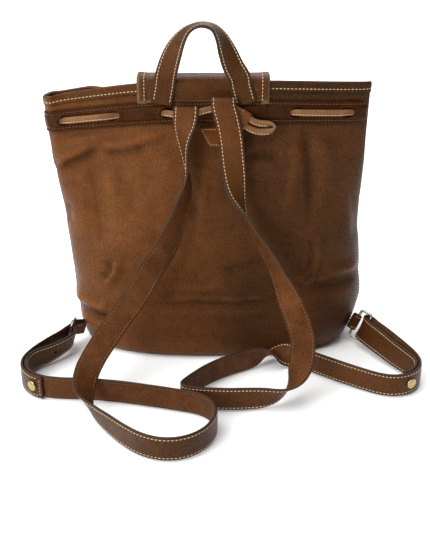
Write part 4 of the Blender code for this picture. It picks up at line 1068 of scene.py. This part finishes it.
def strap_top(x, start, fold):
    """The strap's end goes up behind the drawstring, folds over it and comes down in front."""
    middle, radius = (LOOP_BACK + LOOP_FRONT) / 2, (LOOP_FRONT - LOOP_BACK) / 2
    rows = [(x, float(back_y(x, start, LOOP_BACK)), start, 1, 0, 0)]
    for degrees in (180, 135, 90, 45, 0):
        a = math.radians(degrees)
        y = float(back_y(x, fold)) - middle - radius * math.cos(a)
        rows.append((x, y, fold + radius * math.sin(a), 1, 0, 0))
    return rows


def strap_change(seed):
    """The face is nearly smooth; the reverse has crosswise wrinkles."""
    def change(u, v, t):
        face = ease((t + 0.2) / 0.6)
        inside = ease((10.4 - np.abs(v)) / 1.5)
        wrinkle = lumps(u, v * 0.35, 4.2, seed) * 0.30 + lumps(u + v * 0.5, v * 0.6, 8.5, seed + 1) * 0.30
        soft = lumps(u, v, 15, seed + 2) * 0.22
        return (soft * (2 * face - 1) - wrinkle * (1 - face)) * inside
    return change


def strap_tone(seed, painted_shading=0.0):
    """Patchy, with dark edges. painted_shading is how much darker the face is past its first 300 mm: painted
    shade on the strap's low parts.
    """
    def tone(u, v, t):
        edge = np.exp(-((np.abs(v) - 11.6) / 1.6)**2)
        face = ease((t + 0.2) / 0.6)
        patches = 1.0 + 0.10 * lumps(u, v, 34, seed + 5) + 0.08 * lumps(u, v, 9, seed + 6)
        creases = 1 - 0.10 * (1 - face) * (1 + lumps(u, v * 0.5, 5, seed + 7))
        # Painted shade darkens the face further along the strap.
        return patches * (1 - 0.25 * edge) * creases * (1 - painted_shading * face * ease((u - 200) / 100))
    return tone


def strap_seams(name, frames, line, lift, body_name, look="thread", level=1, skip=(0, 0), ends=False,
                pitch=3.6, radius=0.42):
    """Stitch lines near both edges of a strip, on its face (level 1) or its reverse (level -1)."""
    places, along, across, face, at = frames
    keep = (at >= skip[0]) & (at <= at[-1] - skip[1])
    runs = []
    for side in (-1, 1):
        spot = places + across * side * line + face * level * lift
        runs.append((spot[keep], face[keep] * level))
    if ends:
        k = int(np.searchsorted(at, at[-1] - skip[1]))
        k = min(k, len(at) - 1)
        share = np.linspace(-1, 1, 9)[:, None]
        spot = places[k] + across[k] * share * line + face[k] * level * lift
        runs.append((spot, np.repeat(face[k:k + 1] * level, 9, axis=0)))
    made = stitches(name, runs, look, pitch=pitch, radius=radius)
    if body_name:
        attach(made, body_name)
    return made


def make_strap(side, top, route, seed, painted_shading):
    frames = strip_frames(top + full_rows(route))
    made = sweep("strap_" + side, frames, STRAP_PROFILE, ("strap", "reverse", "paint"), 11.15,
                 change=strap_change(seed), tone=strap_tone(seed, painted_shading))
    belong(made, "bag", "shoulder_strap_" + side)
    strap_seams("strap_stitches_" + side, frames, STITCH_LINE, 1.18, "bag", skip=(5, 4.2), ends=True)
    strap_seams("strap_back_stitches_" + side, frames, STITCH_LINE, 1.02, "bag", "brown_thread", -1,
                skip=(5, 4.2), radius=0.32)


# ---------------------------------------------------------------- metal parts

def lathe(name, profile, place, axis, look, sides=44):
    """Solid turned about an axis from (radius, height) pairs that start and end on the axis."""
    axis = unit(np.array(axis, float))
    helper = np.array((0, 0, 1.0)) if abs(axis[2]) < 0.9 else np.array((1.0, 0, 0))
    one = unit(np.cross(helper, axis))
    two = np.cross(axis, one)
    place = np.array(place, float)
    angles = 2 * math.pi * np.arange(sides) / sides
    points = [place + axis * profile[0][1]]
    for radius, height in profile[1:-1]:
        ring = np.cos(angles)[:, None] * one + np.sin(angles)[:, None] * two
        points += list(place + axis * height + radius * ring)
    points.append(place + axis * profile[-1][1])
    last, faces = len(points) - 1, []
    rings = len(profile) - 2
    for k in range(sides):
        n = (k + 1) % sides
        faces.append([0, 1 + n, 1 + k])
        for r in range(rings - 1):
            a, b = 1 + r * sides, 1 + (r + 1) * sides
            faces.append([a + k, a + n, b + n, b + k])
        top = 1 + (rings - 1) * sides
        faces.append([top + k, top + n, last])
    return add_mesh(name, points, faces, (look,))


STUD_GRIP = 4.1
STUDS = {"left": ((-173.6, -132.8, 12.5), (-0.61, -0.79, 0)),
         "right": ((187.6, -128.45, 12.5), (0.51, -0.86, 0))}
SPARE_HOLES = {"left": ((-164, -72, 13), (-0.65, 0.76, 0)),
               "right": ((168, -52.5, 14.5), (-0.85, -0.45, 0.5))}
SPARE_HOLE = ((0, -1.75), (1.5, -1.75), (1.85, -1.6), (1.85, 1.6), (1.5, 1.75), (0, 1.75))


def make_studs():
    for side, (place, axis) in STUDS.items():
        g = STUD_GRIP
        head = [(0, -g), (1.7, -g), (1.7, g - 0.7), (4.9, g - 0.7), (5.2, g - 0.4), (5.2, g + 0.4),
                (4.9, g + 0.95), (4.3, g + 1.15), (3.8, g + 0.8), (3.3, g + 1.15), (1.8, g + 1.45),
                (0, g + 1.5)]
        made = lathe("stud_head_" + side, head, place, axis, "brass")
        belong(made, "bag", "stud_" + side)
        b = -g - 0.3
        cap = [(0, b - 1.3), (3.2, b - 1.25), (4.1, b - 0.95), (4.5, b - 0.5), (4.5, b), (0, b)]
        made = lathe("stud_cap_" + side, cap, place, axis, "brass")
        belong(made, "bag", "stud_screw_" + side)
        place, axis = SPARE_HOLES[side]
        made = lathe("spare_hole_" + side, SPARE_HOLE, place, axis, "hole", 20)
        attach(made, "bag")


SNAP_X, SNAP_HEIGHT = -11.0, 205.0


def make_snap():
    angle = float(angle_at(SNAP_X, SNAP_HEIGHT, True))
    place, out = shell(angle, SNAP_HEIGHT), shell_out(angle, SNAP_HEIGHT)
    socket = [(0, 0.6), (8.3, 0.6), (8.6, 0.9), (8.6, 1.8), (8.0, 2.3), (6.2, 2.6), (5.6, 2.2), (0, 2.2)]
    made = lathe("snap_socket_metal", socket, place, out, "brass")
    belong(made, "bag", "snap_socket")
    disc = [(0, 3.0), (5.0, 3.0), (5.3, 3.25), (8.0, 3.3), (8.5, 3.6), (8.5, 4.5), (8.1, 4.8), (0, 4.9)]
    made = lathe("snap_disc_metal", disc, place, out, "brass")
    belong(made, "flap", "flap_snap")


# Each ring's near bar's middle, its bars' way, the way across it, and where its tab is sewn.
RING_WIRE, RING_BAR, RING_SPAN = 1.4, 27.0, 12.5
RINGS = {"left": ((-153.0, -44.0, 16.9), (0.27, -0.25, 0.93), (0.19, 0.96, 0.2), (-140.0, -26.2, 17.0)),
         "right": ((160.6, -28.4, 16.6), (0.45, 0.2, 0.87), (-0.75, 0.55, 0.26), (143.9, -19.8, 17.0))}


def ring_lines(side):
    near, bar, across = (np.array(v, float) for v in RINGS[side][:3])
    bar = unit(bar)
    across = unit(across - bar * (across @ bar))
    return near, near + across * RING_SPAN, bar, across


def make_ring(side):
    near, far, bar, across = ring_lines(side)
    middle = (near + far) / 2
    normal = np.cross(bar, across)
    half_long, half_short, corner, sides = RING_BAR / 2 + RING_WIRE, RING_SPAN / 2, 3.0, 16
    path = []
    for sx, sy, start in ((1, 1, 0), (-1, 1, 90), (-1, -1, 180), (1, -1, 270)):
        for step in range(10):
            a = math.radians(start + step * 10)
            path.append((sx * (half_long - corner) + corner * math.cos(a),
                         sy * (half_short - corner) + corner * math.sin(a), a))
    points = []
    for u, v, a in path:
        out = bar * math.cos(a) + across * math.sin(a)
        for k in range(sides):
            b = 2 * math.pi * k / sides
            points.append(middle + bar * u + across * v + out * RING_WIRE * math.cos(b)
                          + normal * RING_WIRE * math.sin(b))
    count, faces = len(path), []
    for i in range(count):
        a, b = i * sides, ((i + 1) % count) * sides
        faces += ring_faces(a, b, sides)
    made = add_mesh("ring_wire_" + side, points, faces, ("nickel",))
    belong(made, side + "_ring", "ring_" + side)


TAB_WIDE, TAB_THICK = 17.0, 1.8


def scaled_profile(wide, thick):
    """The strap's profile at another width and thickness, with its edge's rounding kept."""
    made = []
    for v, t in STRAP_PROFILE:
        across = v / 12.0 * wide / 2 if abs(v) < 8 else math.copysign(wide / 2 - (12.0 - abs(v)), v)
        made.append((across, t / 1.4 * thick / 2))
    return made


def make_tab(side):
    """Leather strip folded round the ring's far bar, with both ends sewn in the corner seam."""
    _, far, bar, _ = ring_lines(side)
    away = np.array(RINGS[side][3]) - far
    away = away - bar * (away @ bar)
    length = float(np.linalg.norm(away))
    away = unit(away)
    out = np.cross(bar, away)
    radius = RING_WIRE + 0.5 + TAB_THICK / 2
    rows = [(*(far + away * length + out * radius * 0.75), *bar), (*(far + away * 4 + out * radius), *bar)]
    for degrees in (90, 135, 180, 225, 270):
        a = math.radians(degrees)
        rows.append((*(far + away * radius * math.cos(a) + out * radius * math.sin(a)), *bar))
    rows += [(*(far + away * 4 - out * radius), *bar), (*(far + away * length - out * radius * 0.75), *bar)]
    frames = strip_frames(rows, 0.8, 4)
    places, along, across, face, at = frames
    made = sweep("tab_" + side, frames, scaled_profile(TAB_WIDE, TAB_THICK), ("strap", "strap", "paint"),
                 TAB_WIDE / 2 - 0.8)
    belong(made, "bag", "ring_tab_" + side)
    outward = 1 if face[len(at) // 2] @ (far - places[0]) > 0 else -1
    strap_seams("tab_stitches_" + side, frames, TAB_WIDE / 2 - 2.4, 0.8, "bag", level=outward,
                skip=(3, 3), pitch=3.2, radius=0.34)


# ---------------------------------------------------------------- patch, flap and handle

def make_patch():
    """Upside-down trapezoid of smooth leather, sewn under the casing."""
    x, height, offset = 2.0, 223.5, 0.55
    low = np.array((x, float(back_y(x, height - 6, offset)), height - 6))
    high = np.array((x, float(back_y(x, height + 6, offset)), height + 6))
    up = unit(high - low)
    across = np.array((1.0, 0, 0))
    out = np.cross(across, up)
    origin = np.array((x, float(back_y(x, height, offset)), height))
    corners = [(-17.4, 9.5), (-7.6, -9.5), (7.6, -9.5), (17.4, 9.5)]
    radius = 2.4
    outline = []
    for i, c in enumerate(corners):
        c = np.array(c)
        before, after = np.array(corners[i - 1]), np.array(corners[(i + 1) % 4])
        one, two = unit(before - c), unit(after - c)
        for share in np.linspace(0, 1, 7):
            a, b = c + one * radius, c + two * radius
            outline.append(a * (1 - share)**2 + 2 * c * share * (1 - share) + b * share**2)
    outline = np.array(outline)
    middle = outline.mean(0)
    rings = []
    for inset, level in ((0.0, 0.0), (-0.1, 0.9), (0.25, 1.35), (1.0, 1.5), (1.7, 1.3), (2.1, 1.3),
                         (2.8, 1.5), (6.0, 1.62)):
        size = np.abs(outline - middle).max(0)
        ring = middle + (outline - middle) * (1 - inset / size)
        rings.append(origin + ring[:, :1] * across + ring[:, 1:] * up + out * level)
    points = np.concatenate(rings)
    count, faces = len(outline), []
    for r in range(len(rings) - 1):
        a, b = r * count, (r + 1) * count
        faces += ring_faces(a, b, count)
    faces += [list(range(count))[::-1], [(len(rings) - 1) * count + k for k in range(count)]]
    made = add_mesh("patch_leather", points, faces, ("patch",))
    belong(made, "bag", "back_patch")
    size = np.abs(outline - middle).max(0)
    line = middle + (outline - middle) * (1 - 2.0 / size)
    line = np.concatenate([line, line[:1]])
    spot = origin + line[:, :1] * across + line[:, 1:] * up + out * 1.3
    thread = stitches("patch_stitches", [(spot, np.repeat(out[None], len(spot), axis=0))], long=1.7, pitch=2.5,
                      radius=0.3)
    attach(thread, "bag")


FLAP_LEFT, FLAP_RIGHT, FLAP_LEATHER, FLAP_CORNER = -75.0, 52.5, 1.8, 22.0
FLAP_PROFILE = ((-7.4, 280.4), (-2, 281.2), (6, 281.0), (12.5, 277.8), (16.6, 270), (18.8, 258), (20.6, 244),
                (23.6, 230), (27.0, 214), (30.4, 198), (33.4, 184))
FLAP_ROOT_HEIGHTS = (256.2, 262, 266.0, 268.4, 272)
FLAP_HEM, FLAP_STITCH = 8.0, 6.2
FLAP_COLUMNS, FLAP_MIDDLE = 118, 59


def flap_grid():
    """Middle surface of the flap, from its raw edge on the back over the mouth and down the front."""
    share = np.linspace(0, 1, FLAP_COLUMNS)
    lines = []
    for s in share:
        x = FLAP_LEFT + (FLAP_RIGHT - FLAP_LEFT) * s
        rows = []
        for height in FLAP_ROOT_HEIGHTS:
            angle = float(angle_at(x, height))
            point = wall(angle, height, 0.2 + 0.9 + FLAP_LEATHER / 2 + float(hem_lift(height)) * 0.6)
            rows.append((x, point[1], height))
        rows.append((x, -11.6, 277.6))
        rows += [(x, y, z) for y, z in FLAP_PROFILE]
        lines.append(resample(smooth_path(rows, 6), 1.5)[0])
    count = max(len(line) for line in lines)
    grid = []
    for line in lines:
        at = np.linspace(0, len(line) - 1, count)
        grid.append(np.stack([np.interp(at, np.arange(len(line)), line[:, k]) for k in range(3)], 1))
    return np.array(grid).transpose(1, 0, 2)


def flap_frame(grid):
    along = unit(np.gradient(grid, axis=0))
    side = unit(np.gradient(grid, axis=1))
    return unit(np.cross(side, along))


def make_flap():
    grid = flap_grid()
    gone = distances(grid[:, FLAP_MIDDLE])
    total = gone[-1]
    below = np.clip((gone - (total - FLAP_CORNER)) / FLAP_CORNER, 0, 0.9995)
    trim = FLAP_CORNER * (1 - np.sqrt(1 - below**2))
    share = (grid[..., 0] - FLAP_LEFT) / (FLAP_RIGHT - FLAP_LEFT)
    grid[..., 0] = (FLAP_LEFT + trim[:, None]) + share * (FLAP_RIGHT - FLAP_LEFT - 2 * trim[:, None])
    x = grid[..., 0]
    v = np.broadcast_to(gone[:, None], x.shape)
    grid[..., 2] += np.where(v < 2.5, lumps(x, v * 0, 7, 51) * 0.5 * (1 - v / 2.5), 0)
    out = flap_frame(grid)
    if out[0, FLAP_MIDDLE, 1] > 0:
        out = -out
    edge = np.minimum(x - FLAP_LEFT - trim[:, None], FLAP_RIGHT - trim[:, None] - x)
    hang = total - v
    near = np.where(hang < FLAP_HEM * 2, np.minimum(edge, hang), edge)
    groove = 0.35 * np.exp(-((near - FLAP_STITCH) / 0.8)**2)
    lift = 0.75 * ease((FLAP_HEM - near) / 0.9) * ease(near / 0.8 + 0.3) - groove
    soft = lumps(x, v, 30, 52) * 0.8 + lumps(x, v, 12, 53) * 0.28
    hung = ease((v - 34) / 20)
    lift = lift + soft * (0.35 + 0.9 * hung)
    outer = grid + out * (FLAP_LEATHER / 2 + lift)[..., None]
    inner = grid - out * (FLAP_LEATHER / 2 - lift * 0.6 * hung)[..., None]
    # The flap is toned darker overall, with a line of painted shade along its hem's inner edge.
    tone = 0.57 + 0.08 * lumps(x, v, 28, 54) - 0.18 * np.exp(-((near - FLAP_HEM - 0.4) / 0.8)**2)
    place = np.stack([x, v, 0 * x], -1)
    made = skin("flap_leather", outer, inner, looks=("bag", "suede", "raw"), tone=tone, place=place,
                marks=(v < 2.2) | (edge < 1.2))
    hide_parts("flap_root", "flap_cover")
    runs = []
    top = int(np.searchsorted(gone, 1.5))
    low = int(np.searchsorted(gone, total - FLAP_CORNER))
    for side in (FLAP_STITCH, -FLAP_STITCH):
        column = np.argmin(np.abs((x[0] - (FLAP_LEFT if side > 0 else FLAP_RIGHT)) - side))
        runs.append((outer[top:low, column] - out[top:low, column] * 0.1, out[top:low, column]))
    angles = np.linspace(0, 90, 14)
    radius = FLAP_CORNER - FLAP_STITCH
    curve = [(FLAP_LEFT + FLAP_CORNER - radius * math.cos(math.radians(a)),
              total - FLAP_CORNER + radius * math.sin(math.radians(a))) for a in angles]
    other = [(FLAP_RIGHT + FLAP_LEFT - px, pv) for px, pv in curve[::-1]]
    level = [(p, total - FLAP_STITCH) for p in np.linspace(curve[-1][0] + 3, other[0][0] - 3, 30)]
    line = []
    for px, pv in curve + level + other:
        row = int(np.clip(np.searchsorted(gone, pv), 1, len(gone) - 1))
        column = int(np.clip(np.searchsorted(x[row], px), 1, x.shape[1] - 1))
        line.append((*outer[row, column], *out[row, column]))
    line = np.array(line)
    runs.append((line[:, :3], line[:, 3:]))
    thread = stitches("flap_stitches", runs, pitch=3.5, radius=0.4)
    for piece in (made, thread):
        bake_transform(piece)


# Each foot's lowest middle and sideways slant; the arch's rows are as a strap's.
HANDLE_FEET = ((-52.0, 4.0), (30.0, -6.0))
HANDLE_WIDE, HANDLE_THICK, HANDLE_LINE = 21.0, 3.0, 277.0
HANDLE_ARCH = (
    (-47.9, -15.3, 280.2, -1, 0, 0), (-45, -16.2, 291, -0.95, 0.3, 0), (-40, -17.6, 305, -0.85, 0.55, 0),
    (-33.5, -18.6, 317.5, -0.6, 0.8, 0), (-24.5, -19.2, 328, -0.25, 1, 0), (-13, -19.4, 332.5, 0, 1, 0),
    (-2.5, -19.2, 330, 0.2, 1, 0), (5.5, -18.6, 320.5, 0.5, 0.85, 0), (11.5, -17.8, 307, 0.8, 0.6, 0),
    (17.5, -16.4, 292.5, 0.95, 0.3, 0), (24, -15.3, 281, 1, 0, 0),
)


def handle_foot(x, slant, way):
    """Rows up one sewn foot, which leans sideways by the slant."""
    low, rows = 256.8, []
    for part, z in ((0, low), (0.3, low + 6), (0.6, low + 12), (0.85, HANDLE_LINE - 2.5)):
        rows.append((x + slant * part, float(back_y(x, z, 5.1)), z, way, 0, 0))
    return rows


def make_handle():
    rows = handle_foot(*HANDLE_FEET[0], -1) + list(HANDLE_ARCH) + handle_foot(*HANDLE_FEET[1], 1)[::-1]
    frames = strip_frames(rows, 1.8, 12)
    leather_tone = strap_tone(71)
    profile = scaled_profile(HANDLE_WIDE, HANDLE_THICK)
    made = sweep("handle_strap", frames, profile, ("strap", "reverse", "paint"), HANDLE_WIDE / 2 - 0.9,
                 change=strap_change(71), tone=lambda u, v, t: 0.72 * leather_tone(u, v, t))
    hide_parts("handle", "handle_foot_left", "handle_foot_right")
    line = HANDLE_WIDE / 2 - 2.7
    thread = strap_seams("handle_stitches", frames, line, 1.25, None, skip=(1.5, 1.5), pitch=3.3)
    under = strap_seams("handle_back_stitches", frames, line, 1.25, None, "brown_thread", -1,
                        skip=(20, 20), pitch=3.3, radius=0.36)
    for piece in (made, thread, under):
        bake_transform(piece)


# ---------------------------------------------------------------- floor and assembly

def make_floor():
    size, count = 9.0, 24
    spots = np.linspace(-size, size, count)
    points = [(x, y, -0.0012) for y in spots for x in spots]
    faces = [[r * count + c, r * count + c + 1, (r + 1) * count + c + 1, (r + 1) * count + c]
             for r in range(count - 1) for c in range(count - 1)]
    mesh = bpy.data.meshes.new("floor")
    mesh.from_pydata(points, [], faces)
    made, tree, shader = new_material("floor_look", Roughness=0.75, Specular_IOR_Level=0.1)
    spot = node(tree, "ShaderNodeTexCoord").outputs["Object"]
    cloud = spread(tree, noise(tree, spot, 3.0), 0.3, 0.7, 0.985, 1.0)
    white = blend_colour(tree, cloud, (0.0, 0.0, 0.0, 1.0), rgb((FLOOR_WHITE,) * 3))
    tree.links.new(white, shader.inputs["Base Color"])
    mesh.materials.append(made)
    floor = bpy.data.objects.new("floor", mesh)
    bpy.context.collection.objects.link(floor)


make_studio()
make_floor()
make_drawstring()
make_slider()
make_panel("wall_back", False, "back_panel")
make_panel("wall_front", True, "front_panel")
make_base()
make_hem_stitches()
seam_stitches()
make_band("band_back", False, "casing_back")
BAND_END = make_band("band_front", True, "casing_front")
band_stitches(BAND_END)
# The last number is how much painted shade darkens each strap's low face.
make_strap("left", strap_top(-28.0, 239.5, 250.2), LEFT_STRAP, 61, 0.42)
make_strap("right", strap_top(8.0, 254.0, 258.8), RIGHT_STRAP, 81, 0.12)
make_studs()
make_snap()
for SIDE in RINGS:
    make_ring(SIDE)
    make_tab(SIDE)
make_patch()
make_flap()
make_handle()
